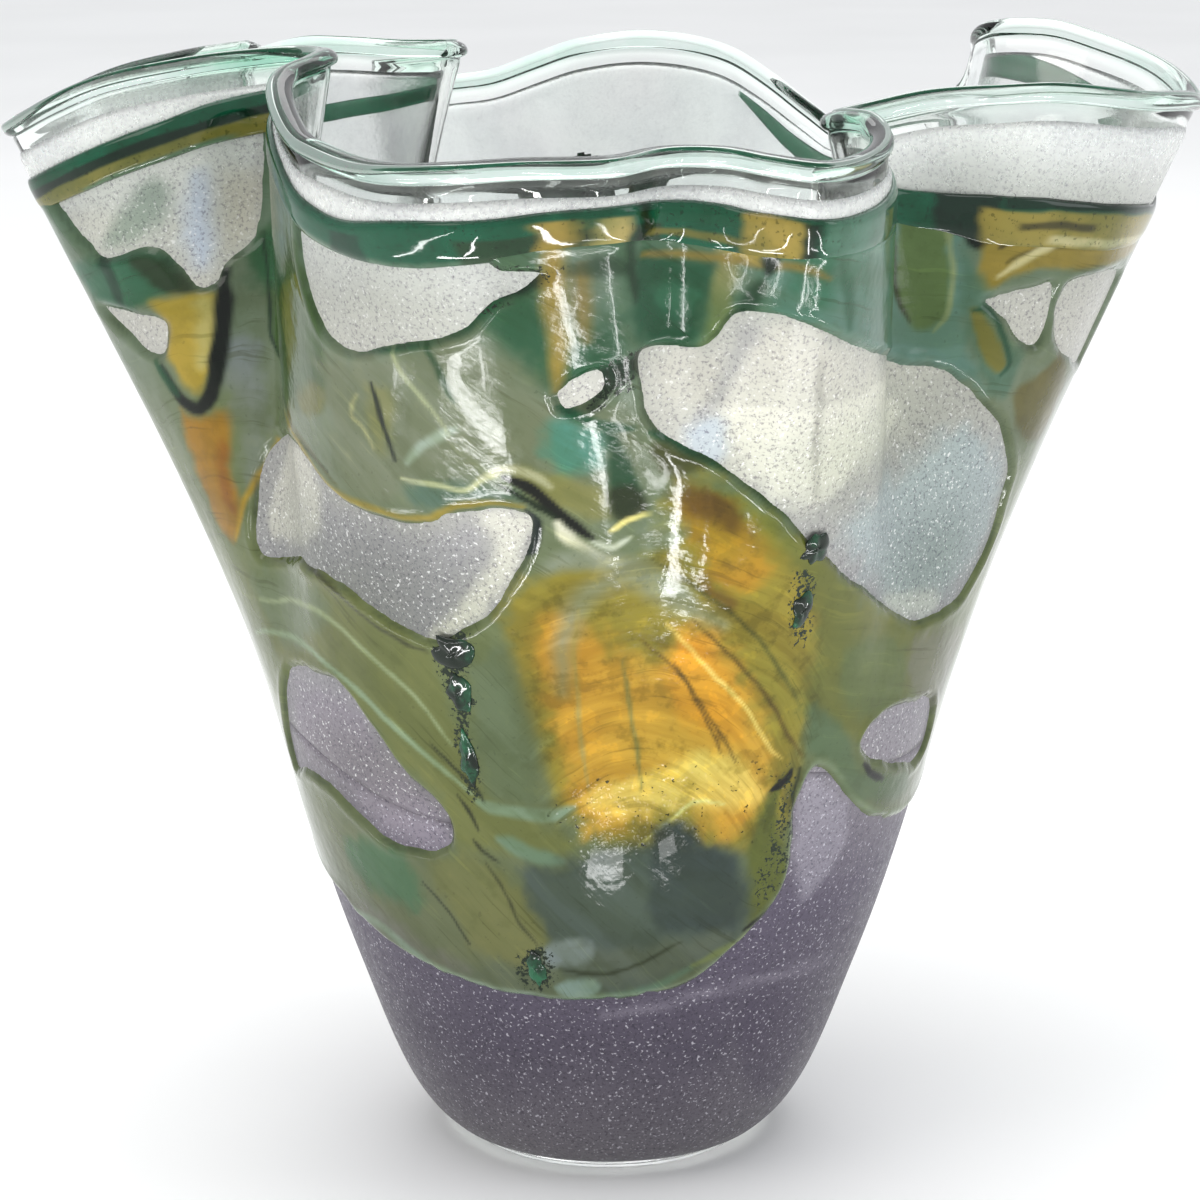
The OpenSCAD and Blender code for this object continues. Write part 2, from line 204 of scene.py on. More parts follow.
# lower edge of the swirls all the way round: [angle, share]
LOWER = np.array([[-180, 0.36], [-165, 0.4], [-148, 0.37], [-130, 0.34], [-112, 0.37], [-96, 0.33], [-80, 0.285],
                  [-65, 0.268], [-56, 0.25], [-41, 0.233], [-27, 0.221], [-10, 0.215], [-2, 0.218], [8, 0.222],
                  [16, 0.232], [22, 0.252], [28, 0.282], [33, 0.318], [33.6, 0.355], [32.6, 0.4], [34, 0.436],
                  [36, 0.441], [39, 0.43], [45, 0.396], [53, 0.369], [60, 0.357], [72, 0.35], [84, 0.37], [98, 0.41],
                  [112, 0.385], [126, 0.35], [142, 0.33], [160, 0.345]], float)
WINDOWS = {
    "left_lobe_top": [(-79.7, 0.953), (-77.7, 0.881), (-74.8, 0.869), (-71.3, 0.867), (-69.5, 0.854), (-67.7, 0.832), (-65.9, 0.832), (-64.5, 0.847), (-62.4, 0.862), (-61.8, 0.876), (-62.1, 0.953), (-64.2, 0.96), (-66.3, 0.956), (-70.1, 0.951), (-75.1, 0.947)],
    "left_pearl": [(-79.6, 0.833), (-76.3, 0.821), (-72.3, 0.809), (-71.7, 0.798), (-73.2, 0.78), (-75.5, 0.783), (-77.5, 0.801), (-79.1, 0.818)],
    "front_left": [(-35.7, 0.947), (-30, 0.942), (-24.6, 0.945), (-16.6, 0.943), (-10.9, 0.941), (-7.8, 0.926), (-4.5, 0.924), (-6.2, 0.91), (-9.2, 0.898), (-11.9, 0.881), (-15.4, 0.869), (-21.2, 0.86), (-28.5, 0.844), (-31.9, 0.845), (-34, 0.856), (-36.1, 0.883)],
    "fold_small": [(-4.3, 0.816), (-2.6, 0.831), (-0.9, 0.837), (-0.4, 0.824), (-1.6, 0.808), (-3.6, 0.802)],
    "right_big": [(3.7, 0.849), (9.9, 0.849), (12.5, 0.859), (15.1, 0.88), (18, 0.884), (22.3, 0.88), (28.8, 0.858), (38.4, 0.821), (55.1, 0.787), (60.9, 0.764), (64.7, 0.742), (69.2, 0.717), (72.8, 0.686), (74.2, 0.657), (74.2, 0.6), (68.5, 0.564), (56.4, 0.556), (46.9, 0.582), (35.9, 0.622), (29.3, 0.659), (25.6, 0.684), (20.9, 0.711), (15.6, 0.737), (10.3, 0.758), (5.9, 0.778), (4.1, 0.806)],
    "left_grey": [(-64.5, 0.631), (-62.3, 0.675), (-59, 0.701), (-53.2, 0.716), (-45.4, 0.718), (-39.9, 0.7), (-33.2, 0.69), (-26.6, 0.687), (-21.5, 0.694), (-19.2, 0.703), (-14.2, 0.709), (-9.2, 0.709), (-7.9, 0.699), (-8.8, 0.677), (-10.9, 0.648), (-13.4, 0.623), (-16.8, 0.602), (-22.5, 0.578), (-25.3, 0.576), (-28.5, 0.579), (-38.8, 0.605), (-51.6, 0.611), (-62.6, 0.599), (-64.9, 0.609)],
    "left_low": [(-62.9, 0.495), (-51.1, 0.508), (-44.7, 0.504), (-39.4, 0.472), (-35.5, 0.439), (-30.2, 0.417), (-27.5, 0.394), (-27.8, 0.37), (-32.3, 0.358), (-40.2, 0.357), (-48.2, 0.376), (-55.9, 0.395), (-64.2, 0.4), (-73, 0.392)],
    "right_low": [(45.1, 0.457), (49, 0.473), (56, 0.476), (66.2, 0.467), (70.8, 0.423), (66.7, 0.404), (52.2, 0.424), (46.9, 0.439)],
    "right_lobe_a": [(62.8, 0.837), (69.3, 0.843), (72.3, 0.847), (73, 0.816), (72.1, 0.794), (70, 0.795), (66.3, 0.815)],
    "right_lobe_b": [(74.5, 0.848), (85.2, 0.854), (87.1, 0.802), (86.5, 0.766), (75.6, 0.791)],
    # the back of the vase
    "back_a": [(104, .66), (112, .70), (124, .71), (134, .67), (138, .6), (130, .54), (116, .53), (106, .58)],
    "back_b": [(150, .5), (160, .56), (172, .57), (183, .53), (188, .47), (176, .44), (160, .45)],
    "back_c": [(170, .71), (180, .735), (194, .735), (204, .71), (206, .68), (196, .64), (180, .65), (170, .68)],
    "back_d": [(214, .6), (224, .66), (238, .68), (250, .63), (254, .55), (244, .5), (228, .5), (217, .54)],
    "back_e": [(232, .79), (244, .82), (256, .81), (262, .78), (254, .74), (240, .74)],
}
# upper edge of the swirls: [angle, share]; the collar trail lies over it at the front
UPPER = np.array([[-180, .878], [-176, .892], [-171, .88], [-166, .845], [-158, .79], [-150, .79], [-135, .83],
                  [-120, .8], [-108, .84], [-98, .94], [-80, .944], [-73, .942], [-66, .953], [-62, .962], [-48, .962],
                  [-38, .952], [-29, .942], [-18, .948], [-6, .95], [0, .956], [10, .95], [22, .95], [33, .945],
                  [48, .93], [58, .925], [70, .912], [88, .908], [96, .915], [104, .86], [112, .8], [126, .77],
                  [140, .8], [152, .83], [165, .8], [172, .83]], float)


def swirl_depth(phi, s):
    """Distance in mm inside the swirled layer, negative in the bare windows."""
    p = np.mod(phi + 180, 360) - 180
    away = smooth(96, 112, np.abs(p))
    sway = wobble(phi, s, 34, 15)
    d = inside_edge(p, s, LOWER) + 2.0 * away * sway
    for poly in WINDOWS.values():
        d = np.minimum(d, -inside_mm(phi, s, poly) + 3.2 * away * sway)
    d = d + 0.9 * wobble(phi, s, 90, 5)
    shape, q = p.shape, p.ravel()
    top = cubic(UPPER[:, 0] + 180, UPPER[:, 1], q + 180.0, 360.0).reshape(shape)
    return np.minimum(d, (top - s) * MM_S + 1.2 * wobble(phi, s, 50, 8))


def edge_loop(edge):
    return np.concatenate([edge[-4:] - [360, 0], edge, edge[:4] + [360, 0]])


def inside_edge(p, s, edge):
    """Signed mm above an open edge that runs once round."""
    E = rounded(edge_loop(edge), 3)[3:-6]
    E = E * [MM_PHI, MM_S]
    x, y = (p * MM_PHI).ravel(), (s * MM_S).ravel()
    best = np.full(x.shape, 1e9)
    for k in range(1, len(E)):
        ax, ay = E[k - 1]
        bx, by = E[k]
        dx, dy = bx - ax, by - ay
        L = dx * dx + dy * dy
        t = np.clip(((x - ax) * dx + (y - ay) * dy) / L, 0, 1)
        best = np.minimum(best, (x - ax - t * dx) ** 2 + (y - ay - t * dy) ** 2)
    # parity of crossings of the downward ray tells above from below
    cross = np.zeros(x.shape, int)
    for k in range(1, len(E)):
        ax, ay = E[k - 1]
        bx, by = E[k]
        if ax == bx:
            continue
        hit = ((ax > x) != (bx > x)) & (y > (by - ay) * (x - ax) / (bx - ax) + ay)
        cross += hit
    d = np.minimum(np.sqrt(best), 25)
    return np.where(cross % 2 == 1, d, -d).reshape(p.shape)


# ----------------------------------------------------------------------------
# Mesh helpers
# ----------------------------------------------------------------------------
def make_mesh(name, verts, quads, attrs=None, smooth_faces=True):
    me = bpy.data.meshes.new(name)
    verts = np.asarray(verts, np.float32) * 0.001
    quads = np.asarray(quads, np.int32)
    me.vertices.add(len(verts))
    me.vertices.foreach_set("co", verts.ravel())
    n = quads.shape[1]
    me.loops.add(quads.size)
    me.loops.foreach_set("vertex_index", quads.ravel())
    me.polygons.add(len(quads))
    me.polygons.foreach_set("loop_start", np.arange(0, quads.size, n, dtype=np.int32))
    me.polygons.foreach_set("loop_total", np.full(len(quads), n, np.int32))
    me.update(calc_edges=True)
    me.validate()
    me.polygons.foreach_set("use_smooth", np.full(len(me.polygons), smooth_faces))
    for key, val in (attrs or {}).items():
        val = np.asarray(val, np.float32)
        if val.ndim == 1:
            at = me.attributes.new(key, "FLOAT", "POINT")
            at.data.foreach_set("value", val)
        else:
            at = me.attributes.new(key, "FLOAT_VECTOR", "POINT")
            at.data.foreach_set("vector", val.ravel())
    ob = bpy.data.objects.new(name, me)
    bpy.context.scene.collection.objects.link(ob)
    return ob


def ring_quads(rows, cols, closed_rows):
    """Faces of a grid of rings (rows x cols, wrapping over cols)."""
    r = np.arange(rows if closed_rows else rows - 1)
    c = np.arange(cols)
    R, C = np.meshgrid(r, c, indexing="ij")
    R2, C2 = (R + 1) % rows, (C + 1) % cols
    return np.stack([R * cols + C, R * cols + C2, R2 * cols + C2, R2 * cols + C], -1).reshape(-1, 4)


def layer_shell(name, phis, srows, o_out, o_in, attrs=None):
    """Closed shell all the way round. srows is (rows, cols) of s; o_* scalars or arrays."""
    rows, cols = srows.shape
    PH = np.broadcast_to(phis, (rows, cols))
    P, n, _ = frame_at(PH, srows)
    outer = P + n * np.broadcast_to(o_out, (rows, cols))[..., None]
    inner = P + n * np.broadcast_to(o_in, (rows, cols))[..., None]
    V = np.concatenate([outer, inner[::-1]]).reshape(-1, 3)
    Q = ring_quads(rows * 2, cols, True)
    at = {}
    for k, v in (attrs or {}).items():
        at[k] = np.concatenate([v, v[::-1]]).reshape((-1,) + v.shape[2:])
    return make_mesh(name, V, Q, at)


# ----------------------------------------------------------------------------
# Node helpers
# ----------------------------------------------------------------------------
class Mat:
    def __init__(self, name):
        self.m = bpy.data.materials.new(name)
        self.m.use_nodes = True
        self.t = self.m.node_tree
        self.t.nodes.clear()
        self.out = self.t.nodes.new("ShaderNodeOutputMaterial")
        self.b = self.t.nodes.new("ShaderNodeBsdfPrincipled")
        self.t.links.new(self.b.outputs[0], self.out.inputs[0])

    def put(self, sock, v):
        if isinstance(v, bpy.types.NodeSocket):
            self.t.links.new(v, sock)
        elif isinstance(v, (tuple, list)):
            sock.default_value = (*v, 1.0)[: len(sock.default_value)] if len(v) == 3 and len(sock.default_value) == 4 else v
        else:
            sock.default_value = v

    def math(self, op, a, b=0.0, c=0.0, clamp=False):
        n = self.t.nodes.new("ShaderNodeMath")
        n.operation = op
        n.use_clamp = clamp
        for i, v in enumerate((a, b, c)):
            self.put(n.inputs[i], v)
        return n.outputs[0]

    def add(self, a, b): return self.math("ADD", a, b)
    def mul(self, a, b): return self.math("MULTIPLY", a, b)
    def sub(self, a, b): return self.math("SUBTRACT", a, b)

    def attr(self, name, vec=False):
        n = self.t.nodes.new("ShaderNodeAttribute")
        n.attribute_name = name
        return n.outputs["Vector"] if vec else n.outputs["Fac"]

    def ramp(self, x, a, b, lo=0.0, hi=1.0, kind="SMOOTHSTEP"):
        n = self.t.nodes.new("ShaderNodeMapRange")
        n.interpolation_type = kind
        self.put(n.inputs["Value"], x)
        n.inputs["From Min"].default_value, n.inputs["From Max"].default_value = a, b
        n.inputs["To Min"].default_value, n.inputs["To Max"].default_value = lo, hi
        return n.outputs["Result"]

    def mix(self, f, a, b, mode="MIX"):
        n = self.t.nodes.new("ShaderNodeMix")
        n.data_type = "RGBA"
        n.blend_type = mode
        n.clamp_factor = True
        self.put(n.inputs[0], f)
        self.put(n.inputs[6], a)
        self.put(n.inputs[7], b)
        return n.outputs[2]

    def coords(self, scale=(1, 1, 1), attr=None):
        src = self.attr(attr, True) if attr else self.t.nodes.new("ShaderNodeTexCoord").outputs["Object"]
        n = self.t.nodes.new("ShaderNodeMapping")
        self.t.links.new(src, n.inputs[0])
        n.inputs["Scale"].default_value = scale
        return n.outputs[0]

    def noise(self, scale, detail=3.0, rough=0.55, vec=None, dist=0.0, out="Fac"):
        n = self.t.nodes.new("ShaderNodeTexNoise")
        n.inputs["Scale"].default_value = scale
        n.inputs["Detail"].default_value = detail
        n.inputs["Roughness"].default_value = rough
        n.inputs["Distortion"].default_value = dist
        if vec is None:
            vec = self.coords()
        self.t.links.new(vec, n.inputs["Vector"])
        return n.outputs[out]

    def voronoi(self, scale, vec=None, feature="F1", out="Distance", rnd=1.0):
        n = self.t.nodes.new("ShaderNodeTexVoronoi")
        n.feature = feature
        n.inputs["Scale"].default_value = scale
        n.inputs["Randomness"].default_value = rnd
        if vec is None:
            vec = self.coords()
        self.t.links.new(vec, n.inputs["Vector"])
        return n.outputs[out]

    def bump(self, height, dist, strength=1.0, prev=None):
        n = self.t.nodes.new("ShaderNodeBump")
        n.inputs["Strength"].default_value = strength
        n.inputs["Distance"].default_value = dist
        self.t.links.new(height, n.inputs["Height"])
        if prev is not None:
            self.t.links.new(prev, n.inputs["Normal"])
        return n.outputs[0]

    def set(self, **kw):
        for k, v in kw.items():
            self.put(self.b.inputs[k.replace("_", " ")], v)
        return self


def srgb(r, g, b):
    def f(c):
        c /= 255.0
        return c / 12.92 if c <= 0.04045 else ((c + 0.055) / 1.055) ** 2.4
    return (f(r), f(g), f(b), 1.0)


# ----------------------------------------------------------------------------
# Colour fields of the swirled layer
# ----------------------------------------------------------------------------
# outline, in (column angle, share of height), of every patch and line of colour:
# name, fill or line, colour, clearness, strength, softness mm, width mm, points
SWIRL_TINTS = [
    ("L teal band", "fill", (58, 118, 90), 0.45, 0.9, 1.2, 0,
     [(-81.4, 0.88), (-78.2, 0.872), (-74.3, 0.866), (-70.5, 0.86), (-68.9, 0.842), (-70.1, 0.829), (-74.5, 0.823), (-78.9, 0.834), (-80.6, 0.852)]),
    ("L teal dark vein", "line", (28, 70, 50), 0.2, 0.9, 0.7, 2.6,
     [(-77.4, 0.873), (-76.8, 0.856), (-76.5, 0.829)]),
    ("L dark loop", "fill", (48, 62, 30), 0.2, 0.85, 1.0, 0,
     [(-73.6, 0.861), (-70.8, 0.859), (-68.4, 0.842), (-67.8, 0.831), (-68.5, 0.826), (-70.8, 0.831), (-72.4, 0.842)]),
    ("L gold patch", "fill", (172, 152, 66), 0.15, 0.95, 1.3, 0,
     [(-72.9, 0.826), (-69.8, 0.827), (-66.8, 0.825), (-66.1, 0.818), (-66.9, 0.768), (-68.7, 0.742), (-71.4, 0.748), (-72.3, 0.779), (-71.7, 0.805)]),
    ("L gold pale", "fill", (196, 190, 140), 0.4, 0.6, 1.5, 0,
     [(-67.8, 0.82), (-66.3, 0.814), (-66.9, 0.777), (-68.4, 0.759), (-68.4, 0.786)]),
    ("L amber low", "fill", (160, 124, 40), 0.1, 0.95, 1.8, 0,
     [(-73.4, 0.728), (-70.6, 0.72), (-66.4, 0.726), (-65.6, 0.707), (-67.2, 0.674), (-66.7, 0.646), (-70, 0.61), (-73.6, 0.634), (-74, 0.684)]),
    ("L amber red", "fill", (140, 90, 28), 0.05, 0.6, 1.5, 0,
     [(-67.8, 0.7), (-66.3, 0.69), (-67.9, 0.665), (-68.1, 0.638), (-69.8, 0.646), (-69.8, 0.673)]),
    ("L blue haze", "fill", (140, 146, 152), 0.3, 0.8, 3.0, 0,
     [(-65.4, 0.784), (-61.4, 0.777), (-60.6, 0.717), (-62.5, 0.666), (-65.5, 0.665), (-65.4, 0.717)]),
    ("L U line", "line", (12, 28, 14), 0.05, 1.0, 0.7, 3.0,
     [(-64.9, 0.842), (-65.4, 0.817), (-66, 0.776), (-67.1, 0.747), (-69.7, 0.728), (-72.6, 0.74), (-73.8, 0.768)]),
    ("L U green end", "line", (30, 84, 56), 0.1, 0.9, 0.7, 2.2,
     [(-72.6, 0.74), (-73.8, 0.755), (-74.6, 0.774)]),
    ("L amber thread", "line", (182, 150, 48), 0.1, 0.8, 0.8, 1.4,
     [(-58.7, 0.702), (-62.3, 0.675), (-65.7, 0.648), (-69.2, 0.611)]),
    # olive streak of the glass, darkened with painted shade where it lies in the fold between the left lobe and the
    # front
    ("L olive streak", "fill", (82, 108, 62), 0.35, 0.95, 1.3, 0,
     [(-61.2, 0.869), (-39.5, 0.924), (-37.1, 0.904), (-35.4, 0.875), (-33.8, 0.834), (-35.9, 0.784), (-39.5, 0.766), (-48.2, 0.753), (-58.2, 0.773), (-60.6, 0.82)]),
    ("L olive streak top", "fill", (52, 112, 76), 0.45, 0.8, 2.2, 0,
     [(-61.2, 0.869), (-42.7, 0.91), (-42.4, 0.883), (-41.4, 0.864), (-59.8, 0.822)]),
    ("L olive streak low", "fill", (128, 122, 48), 0.2, 0.7, 1.5, 0,
     [(-38.1, 0.798), (-35.2, 0.794), (-37.4, 0.772), (-41.7, 0.759), (-42.8, 0.771)]),
    ("L olive edge", "line", (26, 58, 34), 0.1, 0.9, 0.5, 1.1,
     [(-61.2, 0.868), (-60.1, 0.814), (-58.2, 0.775), (-48.2, 0.753), (-45.9, 0.732), (-38.1, 0.718)]),
    ("F lower edge", "line", (48, 104, 74), 0.3, 0.95, 0.6, 1.8,
     [(-5.4, 0.914), (-8.2, 0.902), (-10.4, 0.889), (-12.6, 0.876), (-16.6, 0.865), (-21.3, 0.857), (-27.8, 0.844)]),
    ("F edge dark", "line", (18, 44, 28), 0.1, 0.95, 0.6, 2.6,
     [(-2.8, 0.926), (-4, 0.92), (-5.4, 0.914), (-7.7, 0.904)]),
    ("front deep right", "fill", (34, 94, 66), 0.3, 0.92, 2.2, 0,
     [(2.8, 0.935), (8.6, 0.929), (12.7, 0.921), (11.9, 0.89), (10.2, 0.852), (5, 0.852), (2.6, 0.869), (1.8, 0.905)]),
    ("front deep cloud", "fill", (86, 140, 118), 0.4, 0.6, 2.5, 0,
     [(4.9, 0.901), (8.6, 0.905), (11, 0.893), (9.1, 0.879), (6.8, 0.887)]),
    ("front deep mid", "fill", (44, 100, 70), 0.3, 0.88, 2.5, 0,
     [(-10.1, 0.883), (-5.4, 0.904), (-2.9, 0.912), (0.2, 0.898), (1.4, 0.855), (-0.6, 0.83), (-3.4, 0.813), (-5.1, 0.819), (-7.8, 0.848)]),
    ("front pale", "fill", (128, 142, 128), 0.45, 0.7, 2.5, 0,
     [(-4.3, 0.943), (-0.6, 0.942), (0.4, 0.898), (-0.7, 0.873), (-2.4, 0.882), (-3.8, 0.9)]),
    ("front amber streak a", "line", (176, 150, 72), 0.3, 0.8, 1.0, 2.4,
     [(-3.8, 0.952), (-3.8, 0.933), (-3.8, 0.9), (-3.9, 0.856), (-4.1, 0.819)]),
    ("front amber streak b", "line", (160, 132, 60), 0.3, 0.7, 1.0, 1.8,
     [(-2.1, 0.932), (-2.1, 0.899), (-2.1, 0.864)]),
    ("front dark streak", "line", (30, 62, 38), 0.2, 0.8, 0.9, 2.0,
     [(2, 0.963), (2, 0.929), (2.6, 0.895)]),
    ("front dark band", "fill", (34, 66, 42), 0.2, 0.7, 1.5, 0,
     [(-3.1, 0.933), (-0.6, 0.937), (2, 0.932), (1.8, 0.921), (-2, 0.922)]),
    ("gold strip", "fill", (160, 152, 104), 0.45, 0.85, 1.4, 0,
     [(12.6, 0.948), (15.6, 0.953), (15.4, 0.901), (13, 0.854), (11.1, 0.852), (12.4, 0.89)]),
    ("sage base", "fill", (132, 138, 116), 0.35, 0.85, 4.0, 0,
     [(-34.7, 0.824), (-21.4, 0.853), (-11.8, 0.876), (-7.2, 0.839), (-3.9, 0.807), (1.3, 0.791), (2, 0.745), (-1.8, 0.738), (-8.6, 0.748), (-19.1, 0.735), (-27.5, 0.708), (-36.2, 0.713), (-35.9, 0.768)]),
    ("sage olive patch", "fill", (140, 140, 92), 0.25, 0.7, 2.0, 0,
     [(-27, 0.809), (-24.1, 0.817), (-24.1, 0.787), (-26.9, 0.755), (-27.9, 0.772)]),
    ("sage teal", "fill", (92, 150, 136), 0.4, 0.9, 1.8, 0,
     [(-5.9, 0.779), (-3.8, 0.793), (-0.8, 0.783), (-1, 0.752), (-4.2, 0.744), (-5.8, 0.759)]),
    ("sage teal low", "fill", (96, 122, 108), 0.3, 0.85, 2.0, 0,
     [(-24.1, 0.729), (-17.6, 0.736), (-12.5, 0.731), (-8.7, 0.726), (-11.6, 0.716), (-19.8, 0.709), (-23.6, 0.714)]),
    ("sage olive low", "fill", (138, 136, 84), 0.2, 0.8, 2.0, 0,
     [(-9.5, 0.748), (-4.4, 0.744), (-0.9, 0.728), (0.4, 0.704), (-3.8, 0.705), (-7.8, 0.727)]),
    ("sage dark line", "line", (24, 40, 22), 0.1, 0.95, 0.4, 1.2,
     [(-26.4, 0.819), (-26.1, 0.794), (-25.7, 0.774), (-25.1, 0.749)]),
    ("sage green line", "line", (52, 92, 58), 0.2, 0.9, 0.7, 1.8,
     [(-17.5, 0.87), (-16.9, 0.852), (-16.1, 0.836), (-14.9, 0.812)]),
    ("sage milk", "line", (172, 186, 174), 0.4, 0.85, 0.9, 2.0,
     [(-15.4, 0.788), (-18.4, 0.777), (-21.1, 0.766), (-23.4, 0.749)]),
    ("sage milk curl", "line", (176, 182, 150), 0.3, 0.8, 0.6, 1.0,
     [(-22.5, 0.858), (-22, 0.836), (-19.9, 0.817), (-17.8, 0.8), (-16.4, 0.782)]),
    ("sage milk loop", "line", (176, 176, 140), 0.3, 0.8, 0.6, 1.0,
     [(-29.1, 0.802), (-31.1, 0.783), (-29.4, 0.775), (-28.1, 0.757)]),
    ("sage white low", "line", (200, 202, 170), 0.2, 0.9, 0.6, 1.2,
     [(-24.5, 0.734), (-19.2, 0.732), (-15.7, 0.728), (-13.3, 0.738), (-11, 0.744)]),
    ("sage light band", "line", (186, 186, 160), 0.3, 0.9, 0.7, 1.8,
     [(-13.3, 0.74), (-10.3, 0.748), (-7.5, 0.744), (-5.7, 0.733)]),
    ("olive ridge", "line", (156, 140, 62), 0.1, 0.9, 0.8, 1.8,
     [(-50.2, 0.746), (-44.9, 0.727), (-39.4, 0.706), (-32.9, 0.697), (-26.4, 0.694), (-21.6, 0.698), (-18.3, 0.71), (-12.8, 0.717), (-8.9, 0.714)]),
    ("olive ridge dark", "line", (92, 90, 34), 0.1, 0.8, 0.7, 1.2,
     [(-47.3, 0.742), (-41.8, 0.726), (-36.4, 0.709)]),
    ("A dark corner", "line", (16, 40, 34), 0.1, 1.0, 0.5, 2.0,
     [(-8.5, 0.71), (-7.6, 0.697), (-8.2, 0.677), (-9.2, 0.667)]),
    ("dark squiggle", "line", (20, 26, 10), 0.05, 1.0, 0.5, 2.6,
     [(-10.7, 0.741), (-7.7, 0.73), (-5.9, 0.715), (-4.2, 0.701), (-1.8, 0.686)]),
    ("dark squiggle b", "line", (24, 44, 16), 0.1, 0.95, 0.4, 1.2,
     [(-11.4, 0.735), (-9.2, 0.724), (-6.8, 0.712), (-3.8, 0.693)]),
    ("pale smear", "line", (214, 212, 196), 0.2, 0.95, 0.7, 2.6,
     [(-5.3, 0.699), (-3.8, 0.682), (-0.9, 0.666), (1.8, 0.656)]),
    ("pale smear b", "line", (200, 204, 190), 0.2, 0.9, 0.6, 1.4,
     [(-1.9, 0.682), (0.4, 0.677), (2.8, 0.683)]),
    ("speckle join", "fill", (26, 50, 34), 0.1, 0.85, 1.2, 0,
     [(-0.9, 0.836), (1.4, 0.848), (3.9, 0.852), (2.9, 0.832), (0, 0.815), (-1.6, 0.801), (-1.1, 0.82)]),
    ("mid dark green", "fill", (34, 82, 54), 0.15, 0.92, 1.2, 0,
     [(-0.9, 0.782), (0.6, 0.777), (2.6, 0.744), (4.4, 0.717), (2.7, 0.706), (0.4, 0.707), (-0.2, 0.739)]),
    ("mid dark low", "fill", (50, 54, 22), 0.1, 0.8, 1.2, 0,
     [(0.2, 0.732), (4, 0.725), (4.8, 0.706), (2.2, 0.699), (0, 0.707)]),
    ("green lip line", "line", (26, 90, 62), 0.15, 0.95, 0.7, 2.2,
     [(-3.9, 0.804), (-2.4, 0.796), (-0.2, 0.788), (2.5, 0.783)]),
    ("B edge green", "line", (34, 98, 70), 0.15, 0.9, 0.7, 2.0,
     [(4.6, 0.777), (8.1, 0.767), (11.6, 0.753), (15.1, 0.739)]),
    ("B edge olive", "line", (60, 84, 44), 0.15, 0.85, 0.8, 1.6,
     [(11.6, 0.753), (16.9, 0.735), (22.3, 0.708), (27.7, 0.674), (35.8, 0.624), (47.8, 0.579)]),
    ("brown wedge", "fill", (80, 82, 32), 0.1, 0.9, 1.3, 0,
     [(5.2, 0.767), (10.3, 0.754), (12.1, 0.744), (9.4, 0.732), (6.6, 0.741)]),
    ("bright fleck", "line", (222, 212, 150), 0.1, 0.9, 0.5, 1.4,
     [(0.4, 0.692), (2.1, 0.7), (5.1, 0.702)]),
    ("R teal", "fill", (112, 144, 132), 0.45, 0.95, 2.4, 0,
     [(15.9, 0.955), (20.5, 0.974), (25, 0.965), (33, 0.955), (53.4, 0.928), (59.4, 0.924), (60.3, 0.881), (60.6, 0.812), (64.3, 0.755), (55.1, 0.785), (38.5, 0.818), (29.6, 0.855), (23.6, 0.878), (19.3, 0.885), (18.2, 0.909)]),
    ("R teal dark", "fill", (66, 122, 96), 0.4, 0.85, 2.5, 0,
     [(20.8, 0.952), (24.6, 0.956), (26.1, 0.902), (23.6, 0.894), (21.6, 0.908)]),
    ("R teal stripe", "line", (54, 104, 78), 0.3, 0.85, 1.0, 2.6,
     [(26.7, 0.963), (27.1, 0.933), (27.9, 0.896), (28.8, 0.869)]),
    ("R teal mid", "fill", (92, 134, 114), 0.4, 0.8, 2.2, 0,
     [(28.2, 0.956), (51.3, 0.913), (50.7, 0.859), (32.9, 0.88), (29.4, 0.902)]),
    ("R amber strip", "fill", (168, 148, 72), 0.25, 0.95, 1.1, 0,
     [(13.9, 0.963), (18.1, 0.965), (18.1, 0.938), (16.4, 0.927), (14.3, 0.929)]),
    ("R amber line", "line", (150, 130, 70), 0.25, 0.85, 0.8, 2.0,
     [(3.5, 0.935), (10.9, 0.927), (16.6, 0.927), (21.8, 0.93), (25.1, 0.921)]),
    ("R black strip", "line", (18, 44, 26), 0.05, 0.98, 0.8, 3.0,
     [(19.2, 0.965), (18.7, 0.94), (18.4, 0.921)]),
    ("R dark fall", "line", (34, 74, 48), 0.1, 0.9, 1.2, 3.4,
     [(18, 0.913), (17, 0.895), (15.8, 0.878), (14.6, 0.859)]),
    ("R olive pod", "fill", (104, 124, 76), 0.35, 0.95, 1.1, 0,
     [(53.1, 0.921), (55.6, 0.927), (58.2, 0.923), (58.3, 0.874), (57.8, 0.834), (55.6, 0.818), (52.8, 0.826), (51.4, 0.85), (51.8, 0.89)]),
    ("R olive pod rim", "line", (150, 160, 120), 0.4, 0.8, 0.6, 1.2,
     [(58.2, 0.922), (58.6, 0.874), (58.1, 0.833), (55.9, 0.815)]),
    ("R pod left rim", "line", (60, 70, 34), 0.2, 0.9, 0.5, 1.3,
     [(51.4, 0.92), (51.3, 0.891), (51.4, 0.85), (52.6, 0.829)]),
    ("R collar black", "fill", (14, 34, 22), 0.05, 1.0, 0.8, 0,
     [(59.8, 0.924), (64.1, 0.922), (64, 0.898), (62.6, 0.883), (60.7, 0.886), (60.1, 0.903)]),
    ("R gold band", "fill", (150, 134, 60), 0.2, 0.95, 1.0, 0,
     [(63.2, 0.917), (69, 0.914), (73.8, 0.909), (80.3, 0.893), (89.3, 0.874), (80.8, 0.865), (74.9, 0.861), (68.9, 0.858), (62.8, 0.847), (61.1, 0.855), (62, 0.879), (63.8, 0.895)]),
    ("R gold dark a", "line", (52, 48, 18), 0.05, 0.95, 0.6, 2.0,
     [(64.4, 0.883), (67.3, 0.896), (70.5, 0.901), (74, 0.9)]),
    ("R gold dark b", "line", (84, 78, 30), 0.1, 0.85, 0.6, 1.4,
